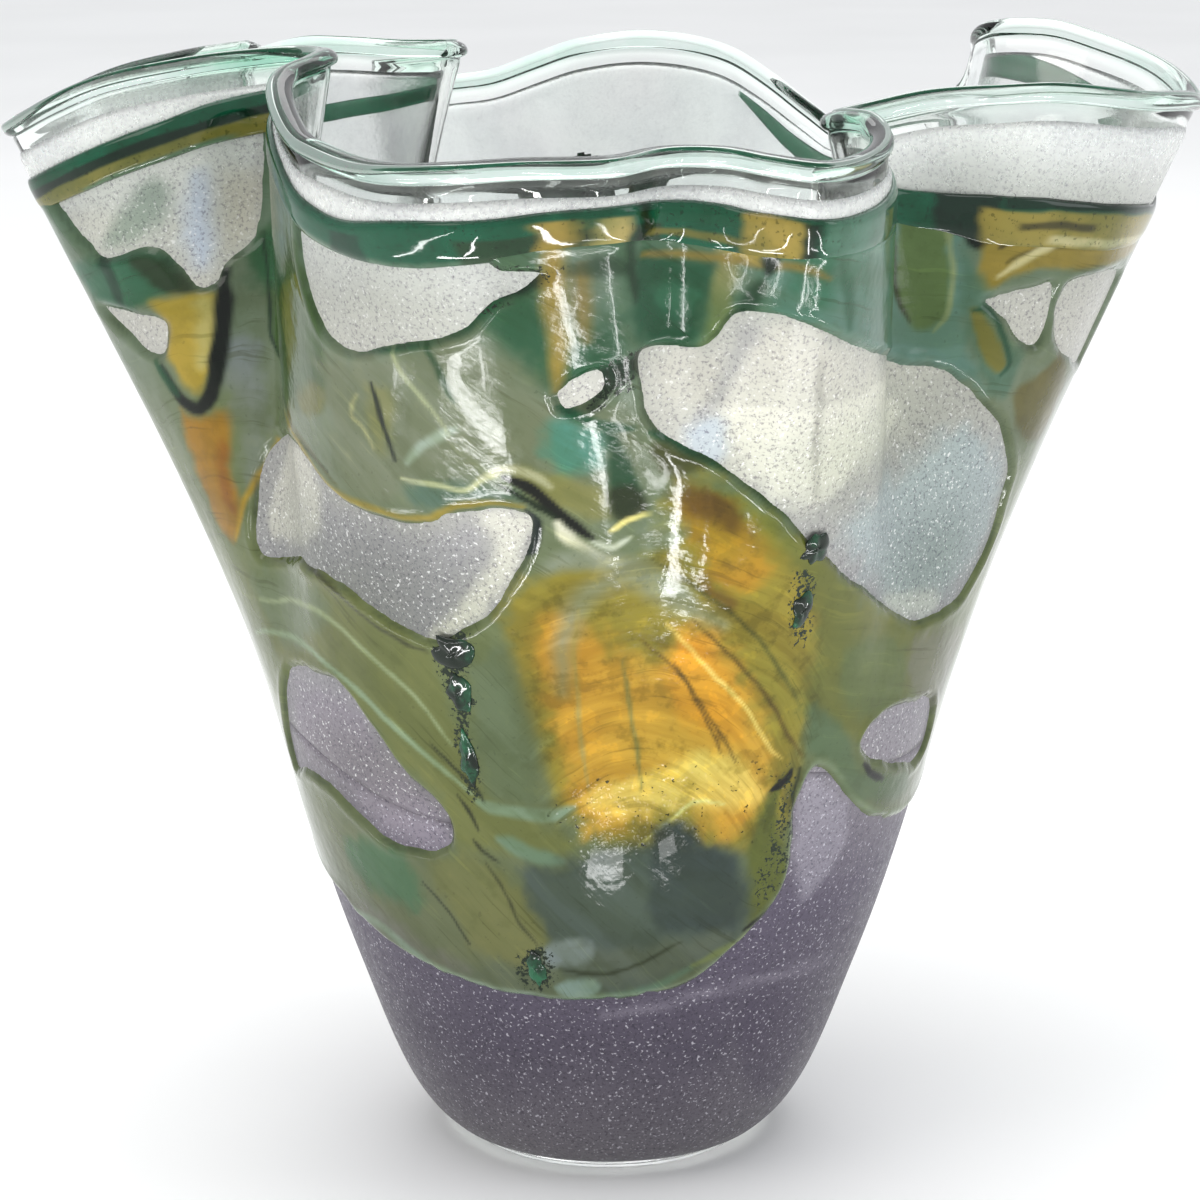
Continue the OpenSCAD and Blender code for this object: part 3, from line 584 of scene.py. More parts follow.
     [(65.1, 0.868), (69.3, 0.877), (73.5, 0.88), (79, 0.884)]),
    ("R gold pale", "line", (206, 200, 160), 0.4, 0.85, 0.7, 2.0,
     [(64.1, 0.857), (68.6, 0.872), (73.2, 0.887), (80.1, 0.895)]),
    ("R top line", "line", (16, 36, 24), 0.05, 1.0, 0.6, 2.0,
     [(60.1, 0.925), (64.1, 0.921), (69, 0.914), (73.8, 0.913)]),
    ("R top green", "fill", (60, 104, 82), 0.35, 0.9, 1.2, 0,
     [(73.8, 0.916), (82.9, 0.914), (82.2, 0.897), (75.2, 0.9)]),
    ("R green fall", "fill", (96, 128, 108), 0.4, 0.9, 1.8, 0,
     [(59.8, 0.882), (62.8, 0.844), (65.5, 0.809), (69.6, 0.789), (68.2, 0.754), (64.2, 0.757), (60.6, 0.804)]),
    ("R olive bud", "fill", (124, 120, 52), 0.2, 0.95, 0.9, 0,
     [(61.2, 0.828), (63.2, 0.823), (65.3, 0.802), (67, 0.78), (65, 0.774), (62.4, 0.792)]),
    ("R bud rim", "line", (34, 86, 60), 0.2, 0.9, 0.5, 1.4,
     [(61.5, 0.829), (63.7, 0.826), (65.9, 0.805), (67.7, 0.781), (66.2, 0.77)]),
    ("R olive low", "fill", (106, 100, 44), 0.15, 0.95, 1.3, 0,
     [(69.8, 0.751), (73.8, 0.767), (77.3, 0.784), (81.4, 0.743), (79.6, 0.701), (72.2, 0.714)]),
    ("olive gold", "fill", (150, 138, 58), 0.1, 0.95, 3.5, 0,
     [(-12.8, 0.623), (-7.1, 0.651), (-0.9, 0.662), (4.9, 0.663), (6.1, 0.696), (10.4, 0.735), (17.1, 0.714), (24.2, 0.676), (30.6, 0.611), (36.6, 0.544), (32.2, 0.5), (30.9, 0.451), (30.7, 0.381), (25.9, 0.365), (15.6, 0.376), (5.3, 0.376), (-2.9, 0.396), (-8.9, 0.425), (-10.2, 0.475), (-11.9, 0.525), (-13.3, 0.574)]),
    ("amber bright", "fill", (202, 158, 64), 0.08, 0.85, 4.0, 0,
     [(-10, 0.585), (-5.6, 0.615), (0.2, 0.576), (7.4, 0.564), (11.4, 0.601), (15.9, 0.581), (21.2, 0.53), (25.9, 0.466), (24.8, 0.407), (18.9, 0.385), (11.5, 0.425), (5.1, 0.411), (-1.2, 0.396), (-5.2, 0.426), (-7.1, 0.486), (-8.7, 0.536)]),
    ("amber orange", "fill", (216, 158, 50), 0.05, 0.7, 3.0, 0,
     [(8.8, 0.573), (12.9, 0.581), (18.8, 0.531), (21.4, 0.479), (16.4, 0.487), (11.5, 0.504), (8.7, 0.534)]),
    ("amber upper", "fill", (184, 140, 48), 0.05, 0.8, 2.6, 0,
     [(10.6, 0.713), (14.5, 0.713), (20.1, 0.677), (22, 0.643), (16.7, 0.629), (12.2, 0.657), (9.4, 0.685)]),
    ("amber pale low", "fill", (214, 190, 110), 0.05, 0.75, 2.6, 0,
     [(6.5, 0.456), (14.2, 0.471), (21.8, 0.459), (25.4, 0.416), (18.4, 0.411), (9.9, 0.417), (-1.2, 0.412), (-2.8, 0.437)]),
    ("amber brown", "fill", (120, 88, 34), 0.05, 0.8, 1.8, 0,
     [(9.7, 0.729), (13.3, 0.722), (17.2, 0.703), (16, 0.688), (11.9, 0.7), (9.6, 0.713)]),
    ("amber brown b", "fill", (118, 92, 40), 0.05, 0.75, 1.6, 0,
     [(12.4, 0.64), (15.6, 0.631), (18, 0.616), (16.1, 0.612), (13.1, 0.625)]),
    ("veil arc", "line", (150, 156, 140), 0.15, 0.75, 2.6, 4.6,
     [(-6.5, 0.536), (-5.7, 0.586), (-3.2, 0.625), (1.5, 0.644), (6.4, 0.631), (11.2, 0.614), (15.9, 0.598)]),
    ("veil upper", "line", (146, 152, 138), 0.15, 0.85, 2.0, 5.0,
     [(-7, 0.657), (-3, 0.667), (1.5, 0.656), (7, 0.64), (11.2, 0.62)]),
    ("veil grey r", "fill", (140, 150, 142), 0.2, 0.8, 1.8, 0,
     [(4.1, 0.697), (7.8, 0.702), (10.1, 0.685), (8.4, 0.672), (5, 0.671)]),
    ("olive right", "fill", (120, 122, 62), 0.12, 0.95, 3.0, 0,
     [(21.1, 0.696), (27.8, 0.668), (36.1, 0.617), (49, 0.566), (63.2, 0.539), (75.6, 0.51), (64.1, 0.487), (48.6, 0.484), (43.9, 0.461), (36.8, 0.483), (30, 0.513), (30.9, 0.571), (26.7, 0.635)]),
    ("olive right soft", "fill", (112, 124, 82), 0.2, 0.8, 2.5, 0,
     [(38.1, 0.561), (51.5, 0.543), (53.6, 0.492), (44.9, 0.48), (37.2, 0.514)]),
    ("edge grey right", "fill", (132, 130, 122), 0.2, 0.85, 3.0, 0,
     [(58.4, 0.542), (73.2, 0.521), (70.3, 0.458), (58.3, 0.476), (53.7, 0.521)]),
    ("strap", "fill", (104, 122, 92), 0.25, 0.95, 1.6, 0,
     [(32.3, 0.508), (39.3, 0.472), (46.8, 0.423), (63.1, 0.397), (64.7, 0.375), (50.8, 0.387), (43.5, 0.409), (38.3, 0.441), (32.8, 0.457)]),
    ("dark tick", "line", (24, 26, 28), 0.05, 1.0, 0.4, 2.0,
     [(46.2, 0.432), (48.6, 0.419), (52.9, 0.407)]),
    ("ray a", "line", (112, 88, 30), 0.05, 0.85, 0.4, 0.8,
     [(4.4, 0.584), (9.2, 0.555), (13.6, 0.523), (17.5, 0.487), (20.2, 0.458)]),
    ("ray b", "line", (106, 88, 34), 0.05, 0.9, 0.4, 0.9,
     [(11.4, 0.603), (17.6, 0.566), (23.1, 0.529), (28.8, 0.479), (31.8, 0.455)]),
    ("ray c", "line", (230, 206, 130), 0.05, 0.8, 0.4, 0.8,
     [(7.8, 0.6), (13.2, 0.562), (18.9, 0.526), (24.6, 0.479), (28.1, 0.454)]),
    ("ray d", "line", (110, 86, 30), 0.05, 0.85, 0.4, 0.8,
     [(9.1, 0.561), (12, 0.533), (15.8, 0.494), (17.4, 0.47)]),
    ("ray e", "line", (96, 96, 44), 0.05, 0.9, 0.5, 1.0,
     [(5.6, 0.659), (12.5, 0.629), (18.5, 0.6), (24.1, 0.558), (30.1, 0.509)]),
    ("ray f", "line", (170, 156, 100), 0.1, 0.8, 0.5, 1.0,
     [(-3.8, 0.615), (-4.6, 0.566), (-4.2, 0.507), (-3.1, 0.437)]),
    ("ray g", "line", (140, 136, 84), 0.1, 0.8, 0.5, 1.0,
     [(1.6, 0.566), (3.5, 0.506), (5, 0.436)]),
    ("pale sweep", "line", (206, 200, 140), 0.05, 0.85, 0.5, 1.1,
     [(5.2, 0.381), (9.8, 0.405), (14.2, 0.423), (18.6, 0.419)]),
    ("edge right low", "fill", (104, 110, 52), 0.15, 0.95, 1.8, 0,
     [(30.1, 0.446), (28.4, 0.414), (32.3, 0.336), (27.5, 0.295), (24.8, 0.314), (24.3, 0.364), (25.9, 0.411)]),
    ("edge right line", "line", (40, 52, 28), 0.1, 0.9, 0.5, 1.1,
     [(31.6, 0.443), (31.2, 0.411), (34.8, 0.334), (29.2, 0.294)]),
    ("flow olive", "fill", (120, 124, 78), 0.15, 0.9, 3.0, 0,
     [(-69, 0.581), (-51.7, 0.609), (-38.4, 0.604), (-29.6, 0.579), (-25, 0.564), (-24.4, 0.517), (-21.2, 0.459), (-17.6, 0.422), (-7.8, 0.395), (-8, 0.375), (-18.5, 0.37), (-27.3, 0.376), (-28.3, 0.419), (-34.9, 0.452), (-43.4, 0.505), (-50.6, 0.516), (-63.3, 0.504), (-67.5, 0.548)]),
    ("flow green", "fill", (118, 132, 108), 0.25, 0.7, 3.0, 0,
     [(-67.6, 0.584), (-52.2, 0.601), (-44.5, 0.578), (-56.2, 0.533), (-64.6, 0.532)]),
    ("flow light a", "line", (158, 168, 136), 0.2, 0.9, 0.6, 1.2,
     [(-66.7, 0.558), (-54.1, 0.57), (-44.9, 0.57), (-37, 0.551), (-30.2, 0.518), (-24.6, 0.475)]),
    ("flow light b", "line", (150, 166, 142), 0.2, 0.9, 0.6, 1.6,
     [(-72, 0.524), (-56.1, 0.535), (-43, 0.513), (-34.3, 0.48), (-27.7, 0.452), (-22.2, 0.427)]),
    ("flow light c", "line", (140, 160, 142), 0.25, 0.8, 0.9, 3.2,
     [(-21.4, 0.419), (-17.7, 0.413), (-11, 0.411), (-5.8, 0.418)]),
    ("flow light d", "line", (124, 148, 132), 0.25, 0.8, 1.2, 4.0,
     [(-18.2, 0.383), (-13.2, 0.371), (-8.1, 0.365)]),
    ("flow dark a", "line", (38, 46, 22), 0.1, 0.9, 0.4, 0.9,
     [(-28.2, 0.472), (-24.7, 0.451), (-21.4, 0.433), (-20.3, 0.42)]),
    ("flow dark b", "line", (40, 46, 26), 0.1, 0.9, 0.4, 0.9,
     [(-24.9, 0.422), (-22.8, 0.403), (-21.7, 0.389)]),
    ("flow dark c", "line", (38, 44, 26), 0.1, 0.9, 0.4, 0.8,
     [(-23, 0.38), (-21.1, 0.367), (-18.8, 0.358)]),
    ("A foot line", "line", (62, 64, 40), 0.1, 0.8, 0.5, 0.9,
     [(-51.6, 0.611), (-44.3, 0.606), (-39.2, 0.595), (-30.6, 0.57), (-25.7, 0.564)]),
    ("teal block", "fill", (114, 126, 100), 0.3, 0.8, 3.0, 0,
     [(-18.8, 0.551), (-13.6, 0.584), (-12.2, 0.525), (-10.4, 0.465), (-8.9, 0.425), (-14.2, 0.417), (-19.2, 0.426), (-20, 0.48)]),
    ("stain olive", "fill", (116, 122, 92), 0.2, 0.9, 3.0, 0,
     [(-67.1, 0.373), (-52, 0.363), (-39.8, 0.342), (-29.5, 0.349), (-23.6, 0.315), (-21.3, 0.253), (-35.2, 0.245), (-44.9, 0.26), (-54.5, 0.298), (-62.1, 0.319)]),
    ("stain green", "fill", (84, 122, 90), 0.3, 0.85, 3.0, 0,
     [(-53.8, 0.342), (-42.9, 0.352), (-36.6, 0.334), (-37.3, 0.296), (-46.7, 0.295), (-54.9, 0.312)]),
    ("stain grey", "fill", (122, 122, 112), 0.2, 0.8, 3.0, 0,
     [(-63.9, 0.275), (-49.9, 0.275), (-37.2, 0.254), (-28.4, 0.238), (-36.4, 0.226), (-50.2, 0.237), (-64.2, 0.251)]),
    ("olive wedge", "fill", (124, 126, 84), 0.2, 0.9, 2.5, 0,
     [(-32.7, 0.348), (-24.1, 0.366), (-18.9, 0.35), (-12.1, 0.317), (-10.8, 0.28), (-17.1, 0.255), (-25.3, 0.26), (-29.9, 0.299)]),
    ("wedge line", "line", (46, 54, 34), 0.1, 0.9, 0.4, 0.8,
     [(-34.8, 0.325), (-30.7, 0.3), (-28.5, 0.279), (-27.2, 0.267)]),
    ("wedge line b", "line", (60, 64, 40), 0.1, 0.8, 0.4, 0.8,
     [(-21.3, 0.358), (-18.4, 0.329), (-16.2, 0.294), (-12.8, 0.274)]),
    ("slate", "fill", (84, 96, 90), 0.15, 0.95, 2.6, 0,
     [(-15.2, 0.354), (-8.1, 0.363), (-1.3, 0.376), (7.8, 0.387), (11.7, 0.409), (15.8, 0.382), (22.8, 0.359), (26, 0.313), (25.4, 0.282), (17.9, 0.257), (8.2, 0.237), (-1.5, 0.227), (-9.2, 0.254), (-11.6, 0.29), (-13.9, 0.321)]),
    ("slate dark", "fill", (66, 78, 78), 0.1, 0.85, 2.2, 0,
     [(7.2, 0.387), (11.8, 0.404), (15.5, 0.38), (22.3, 0.355), (24.2, 0.293), (17.1, 0.29), (8.5, 0.302)]),
    ("slate low", "fill", (104, 112, 98), 0.25, 0.85, 2.2, 0,
     [(-9, 0.27), (5.9, 0.276), (15.3, 0.283), (23, 0.278), (15.9, 0.254), (6.2, 0.238), (-3.5, 0.234)]),
    ("slate blue", "fill", (140, 150, 150), 0.4, 0.9, 1.4, 0,
     [(-11.8, 0.274), (-8.9, 0.283), (-3.2, 0.28), (-3, 0.26), (-7.2, 0.253), (-11.5, 0.256)]),
    ("slate blue b", "fill", (146, 164, 156), 0.4, 0.9, 1.0, 0,
     [(-10.3, 0.231), (-5.4, 0.242), (-1.9, 0.239), (-2.3, 0.227), (-7.6, 0.22)]),
    ("slate streak", "line", (60, 68, 44), 0.1, 0.85, 0.5, 1.0,
     [(-9.2, 0.25), (-1.5, 0.247), (6.1, 0.258), (13.4, 0.279)]),
    # these three pale lines along the lower edge of the swirls are a painted highlight of their glossy lip
    ("low lip highlight", "line", (150, 166, 150), 0.45, 0.9, 0.9, 2.4,
     [(-65.9, 0.263), (-51.2, 0.26), (-40.9, 0.239), (-29.1, 0.224), (-18.1, 0.217), (-9.7, 0.216)]),
    ("low lip highlight b", "line", (112, 136, 118), 0.4, 0.85, 0.9, 2.0,
     [(-9.7, 0.217), (-1.6, 0.221), (8.3, 0.231), (16, 0.25)]),
    ("low lip highlight c", "line", (124, 134, 86), 0.3, 0.85, 0.8, 1.6,
     [(16, 0.252), (23.8, 0.268), (27.4, 0.284)]),
    ("black dash", "line", (14, 16, 12), 0.05, 1.0, 0.4, 1.4,
     [(25.8, 0.285), (29.2, 0.295), (32.2, 0.305)]),
    ("black dash b", "line", (16, 20, 14), 0.05, 1.0, 0.4, 1.6,
     [(30.2, 0.444), (29.3, 0.435), (27, 0.425)]),
]

BACK_TINTS = [
    ("back amber", "fill", (186, 146, 60), .1, .85, 3.5, 0, [(126, .46), (140, .5), (152, .6), (160, .64), (150, .66), (136, .6), (124, .54)]),
    ("back amber b", "fill", (178, 140, 58), .1, .8, 3.0, 0, [(-150, .44), (-134, .46), (-122, .54), (-130, .58), (-146, .54)]),
    ("back green", "fill", (44, 104, 74), .3, .85, 3.0, 0, [(112, .74), (128, .72), (146, .76), (160, .8), (150, .84), (130, .82)]),
    ("back teal", "fill", (100, 140, 124), .35, .8, 3.0, 0, [(-160, .62), (-146, .64), (-136, .7), (-144, .76), (-162, .72)]),
    ("back vein", "line", (22, 42, 22), .05, .9, .6, 1.6, [(106, .5), (124, .58), (146, .68), (170, .62), (186, .64)]),
    ("back vein b", "line", (24, 48, 28), .05, .9, .6, 1.4, [(-170, .5), (-150, .6), (-128, .66), (-112, .76)]),
    ("back milk", "line", (170, 180, 150), .3, .8, .8, 1.6, [(110, .44), (132, .42), (156, .5), (180, .4), (204, .42)]),
    ("back milk b", "line", (168, 182, 156), .3, .8, .8, 1.4, [(-176, .78), (-158, .74), (-140, .78), (-124, .72), (-108, .7)]),
]

FRIT_TINTS = [
    ("A cream left", "fill", (196, 194, 184), 0, 0.85, 2.0, 0,
     [(-54.3, 0.708), (-45.6, 0.713), (-42.2, 0.695), (-43.7, 0.653), (-50.3, 0.629), (-60.4, 0.618), (-61.1, 0.651)]),
    ("A cream right", "fill", (204, 202, 190), 0, 0.9, 1.8, 0,
     [(-14.6, 0.704), (-9.2, 0.707), (-8.2, 0.693), (-11.1, 0.649), (-13.8, 0.623), (-18.4, 0.595), (-23.6, 0.577), (-25.1, 0.582), (-21.2, 0.607), (-15.8, 0.643), (-13.2, 0.672)]),
    ("A lilac", "fill", (146, 144, 150), 0, 0.7, 4.0, 0,
     [(-39.8, 0.678), (-26.8, 0.68), (-16.1, 0.69), (-15.4, 0.661), (-20.9, 0.619), (-26.4, 0.594), (-36.1, 0.621), (-44.2, 0.633)]),
    ("B cream", "fill", (206, 204, 192), 0, 0.9, 4.0, 0,
     [(13.6, 0.839), (18.1, 0.87), (25.1, 0.863), (36.8, 0.813), (49.8, 0.747), (34.6, 0.727), (25.2, 0.704), (18.1, 0.733), (14.1, 0.768), (11.4, 0.803)]),
    ("B blue", "fill", (158, 170, 172), 0, 0.85, 4.5, 0,
     [(33.9, 0.682), (49.5, 0.703), (58.9, 0.726), (67, 0.71), (72.1, 0.668), (72, 0.602), (64, 0.574), (50.5, 0.582), (37.7, 0.633)]),
    ("B band", "fill", (158, 158, 156), 0, 0.8, 1.8, 0,
     [(16, 0.874), (18.3, 0.87), (16.1, 0.832), (13.4, 0.785), (11.6, 0.767), (9.5, 0.776), (12.3, 0.812), (14.5, 0.848)]),
    ("B corner blue", "fill", (178, 188, 198), 0, 0.8, 2.0, 0,
     [(9.5, 0.776), (13.9, 0.786), (15.1, 0.759), (13.2, 0.744), (10.3, 0.756)]),
    ("B small", "fill", (196, 194, 182), 0, 0.8, 2.2, 0,
     [(5.1, 0.84), (9.9, 0.845), (12.7, 0.83), (12.3, 0.803), (8.9, 0.798), (6.1, 0.813)]),
    ("B line", "line", (140, 138, 130), 0, 0.7, 0.9, 1.6,
     [(25.7, 0.844), (26.1, 0.788), (27.4, 0.711)]),
    ("B low pale", "fill", (196, 198, 190), 0, 0.7, 1.6, 0,
     [(46.8, 0.589), (58, 0.582), (61.1, 0.563), (54.8, 0.562), (48.8, 0.575)]),
    ("C lilac", "fill", (136, 128, 140), 0, 0.8, 3.0, 0,
     [(-59.4, 0.483), (-45.2, 0.493), (-39.1, 0.452), (-30.8, 0.401), (-29.8, 0.372), (-40.8, 0.37), (-51.8, 0.406), (-64.4, 0.428)]),
    ("lobe pale", "fill", (196, 196, 184), 0, 0.8, 2.5, 0,
     [(-78.9, 0.914), (-73.4, 0.901), (-71.9, 0.881), (-75.8, 0.877), (-78.3, 0.892)]),
    ("lobe green", "fill", (120, 138, 122), 0, 0.75, 2.0, 0,
     [(-72.1, 0.915), (-69.2, 0.921), (-69.2, 0.896), (-72.1, 0.877), (-76.2, 0.882)]),
    ("lobe blue", "fill", (176, 188, 204), 0, 0.8, 2.0, 0,
     [(-67.2, 0.919), (-65.9, 0.916), (-65.6, 0.882), (-66.1, 0.849), (-67.6, 0.851), (-67.8, 0.886)]),
    ("lobe gold", "fill", (190, 186, 168), 0, 0.7, 2.5, 0,
     [(-64.8, 0.917), (-62.1, 0.917), (-61.8, 0.874), (-64.2, 0.856), (-65.1, 0.873)]),
    ("base dark", "fill", (66, 58, 76), 0, 0.6, 3.0, 0,
     [(30.8, 0.201), (46.5, 0.188), (53.7, 0.128), (50.9, 0.063), (35.2, 0.117)]),
    ("base light", "line", (128, 122, 134), 0, 0.55, 1.4, 2.2,
     [(-1.6, 0.198), (10.7, 0.208), (23.3, 0.218), (40.5, 0.221), (55.7, 0.218)]),
    ("base pale", "fill", (150, 146, 156), 0, 0.5, 2.5, 0,
     [(32.9, 0.419), (36.8, 0.425), (46.4, 0.378), (45.9, 0.343), (39.4, 0.299), (34.3, 0.357)]),
]

AMBER = [(-14, .56), (-13, .6), (-9, .635), (-4, .66), (3, .685), (6, .735), (10, .745), (14, .73), (20, .69),
         (26, .645), (32, .59), (35, .54), (35, .47), (33, .41), (29, .378), (18, .366), (6, .372), (-4, .385),
         (-9, .395), (-12, .43), (-14, .5)]


PITTED = [(-8, .44), (4, .455), (14, .46), (26, .45), (31, .42), (28, .385), (16, .375), (0, .375), (-8, .39)]


SOOT = [  # clusters of tiny black-green specks
    [(-24, .587), (-19.2, .592), (-18.6, .574), (-20.7, .54), (-19.4, .521), (-21, .495), (-20.3, .46),
     (-21, .42), (-22.6, .42), (-24, .472), (-23.4, .518), (-24.7, .547)],
    [(-17, .263), (-11.8, .274), (-10.1, .242), (-13.8, .224), (-17.6, .233)],
    [(-1.4, .833), (1.8, .851), (4.8, .856), (3.8, .828), (.2, .81), (-1.8, .8)],
    [(25.2, .644), (28.6, .637), (29.3, .573), (26.1, .58)],
    [(-10.7, .93), (-3.2, .928), (-6.2, .908), (-10.4, .889), (-12.3, .903)],
    [(29.9, .452), (34.6, .36), (28.8, .305), (26.4, .325), (27.6, .375), (28.2, .425)]]


SOOT_WEIGHT = [.95, .8, .72, .7, .66, .5]


def pieces_of(p, s):
    """Which swirl piece each point of the wall belongs to."""
    amb = inside_mm(p, s, AMBER) > 0
    hi_slate = np.interp(p, [-72, -50, -41, -34, -27, -18, -8, 15, 31, 37], [.43, .39, .365, .357, .372, .38, .388, .37, .385, .42])
    front = (p > -74) & (p < 37)
    slate = front & (s < hi_slate)
    olive_l = front & (p < -3) & (s < np.interp(p, [-74, -52, -26, -10, -3], [.6, .615, .575, .66, .66]))
    sage = (p >= -60) & (p < 13)
    gold_l = (p >= -100) & (p < -60) & (s > .6)
    strap = (p >= 33) & (p < 96) & (s < .442)
    olive_r = (p >= 12) & (p < 112) & (s < .69)
    teal = (p >= 12) & (p < 96)
    low = s < .67
    return np.select([amb, slate, olive_l, strap, olive_r, gold_l, sage, teal, low],
                     [0, 1, 2, 4, 3, 7, 5, 6, 8], 9)


PIECES = ["amber_swirl", "slate_swirl", "left_olive_swirl", "right_olive_swirl", "right_strap_swirl",
          "sage_swirl", "teal_shoulder_swirl", "left_gold_swirl", "back_olive_swirl", "back_green_swirl"]
SLOTS = ["amber_glass", "slate_glass", "olive_glass", "olive_glass", "olive_glass", "sage_glass", "teal_glass",
         "gold_glass", "olive_glass", "teal_glass"]

# ----------------------------------------------------------------------------
# Materials
# ----------------------------------------------------------------------------


def lin(rgb):
    c = np.array(rgb, float) / 255.0
    return np.where(c <= 0.04045, c / 12.92, ((c + 0.055) / 1.055) ** 2.4)


def line_mm(phi, s, pts, width):
    """Half the width less the distance in mm to a smooth open line that thins out at its ends."""
    P = np.array(pts, float) * [MM_PHI, MM_S]
    P = np.concatenate([[2 * P[0] - P[1]], P, [2 * P[-1] - P[-2]]])
    Q = []
    for i in range(1, len(P) - 2):
        p0, p1, p2, p3 = P[i - 1 : i + 3]
        for k in range(6):
            u = k / 6
            Q.append(0.5 * ((2 * p1) + (-p0 + p2) * u + (2 * p0 - 5 * p1 + 4 * p2 - p3) * u * u
                            + (-p0 + 3 * p1 - 3 * p2 + p3) * u**3))
    Q = np.array(Q + [P[-2]])
    c = Q[:, 0].mean()
    x = (np.mod(phi - c / MM_PHI + 180, 360) - 180) * MM_PHI + c
    y = s * MM_S
    lo, hi = Q.min(0) - 6, Q.max(0) + 6
    near = (x > lo[0]) & (x < hi[0]) & (y > lo[1]) & (y < hi[1])
    out = np.full(x.shape, -9.0)
    xn, yn = x[near], y[near]
    best = np.full(xn.shape, -9.0)
    n = len(Q) - 1
    for k in range(n):
        (ax, ay), (bx, by) = Q[k], Q[k + 1]
        dx, dy = bx - ax, by - ay
        u = np.clip(((xn - ax) * dx + (yn - ay) * dy) / max(dx * dx + dy * dy, 1e-9), 0, 1)
        along = (k + u) / n
        half = 0.5 * width * (0.45 + 0.55 * np.minimum(1, np.minimum(along, 1 - along) * 5))
        best = np.maximum(best, half - np.sqrt((xn - ax - u * dx) ** 2 + (yn - ay - u * dy) ** 2))
    out[near] = best
    return out


def paint(phi, s, tone, layers, seed, drift=1.0):
    """Lay patches and lines of colour over a base tone; last channel is clearness."""
    T = np.array(tone, float)
    wp = phi + drift * 0.55 * wobble(phi, s, 70, seed)
    ws = s + drift * 0.0035 * wobble(phi, s, 70, seed + 9)
    frill = wobble(phi, s, 170, seed + 17)
    for name, kind, rgb, clear, strength, soft, width, pts in layers:
        d = inside_mm(wp, ws, pts) if kind == "fill" else line_mm(wp, ws, pts, width)
        f = (strength * smooth(-soft, soft, d + (soft * 0.9 if kind == "fill" else 0.25) * frill))[..., None]
        T = T * (1 - f) + np.append(lin(rgb), clear) * f
    return T


def bands(x, xs, tones):
    """Blend tones (rgb in 0-255 and clearness) along x."""
    C = np.array([np.append(lin(c[:3]), c[3]) for c in tones])
    return np.stack([np.interp(x, xs, C[:, k]) for k in range(4)], -1)


def clear_glass():
    M = Mat("clear_glass")
    n = M.noise(140, 3, 0.6)
    w = M.noise(22, 2, 0.5)
    nb = M.bump(w, 0.0012, 0.25)
    nb = M.bump(n, 0.0001, 0.12, nb)
    glass = M.mix(M.ramp(w, 0.35, 0.65), (0.95, 0.985, 0.965, 1), (0.985, 0.99, 0.98, 1))
    streak = M.noise(90, 3, 0.6)
    glass = M.mix(M.mul(M.attr("bead"), M.ramp(streak, 0.3, 0.6, 0.5, 1.0)), glass, (0.30, 0.72, 0.52, 1), "MULTIPLY")
    M.set(Base_Color=glass,
          Roughness=M.ramp(n, 0.3, 0.8, 0.01, 0.04), IOR=1.4, Transmission_Weight=1.0, Normal=nb)
    return M.m


def frit_material(name, violet):
    M = Mat(name)
    tint, clear = M.attr("tint", True), M.attr("clear")
    fine = M.noise(1250, 3, 0.75)
    mid = M.noise(420, 3, 0.65)
    cloud = M.noise(46, 4, 0.6)
    spark = M.noise(1300, 1, 0.5)
    base = M.mix(M.ramp(cloud, 0.35, 0.7, 0.0, 0.8), tint, (0.88, 0.88, 0.90, 1), "MULTIPLY")
    dark, light = (0.42, 0.40, 0.46, 1), (0.62, 0.60, 0.66, 1) if violet else (0.86, 0.86, 0.84, 1)
    solid = M.math("SUBTRACT", 1.0, M.mul(M.ramp(clear, 0.3, 0.9), 0.8))
    base = M.mix(M.mul(M.ramp(fine, 0.50, 0.66, 0.0, 0.9), solid), base, dark, "MULTIPLY")
    base = M.mix(M.mul(M.ramp(spark, 0.62, 0.74, 0.0, 0.5), solid), base, light)
    nb = M.bump(mid, 0.0004, 0.3)
    nb = M.bump(fine, 0.00014, 0.55, nb)
    rough = M.ramp(mid, 0.3, 0.7, 0.36, 0.52) if violet else M.add(M.mul(clear, -0.22), M.ramp(mid, 0.3, 0.7, 0.36, 0.46))
    M.set(Base_Color=base, Roughness=rough, IOR=1.4, Transmission_Weight=clear, Normal=nb)
    M.b.inputs["Specular IOR Level"].default_value = 0.4
    M.b.inputs["Coat Weight"].default_value = 0.12
    M.b.inputs["Coat Roughness"].default_value = 0.25
    return M.m


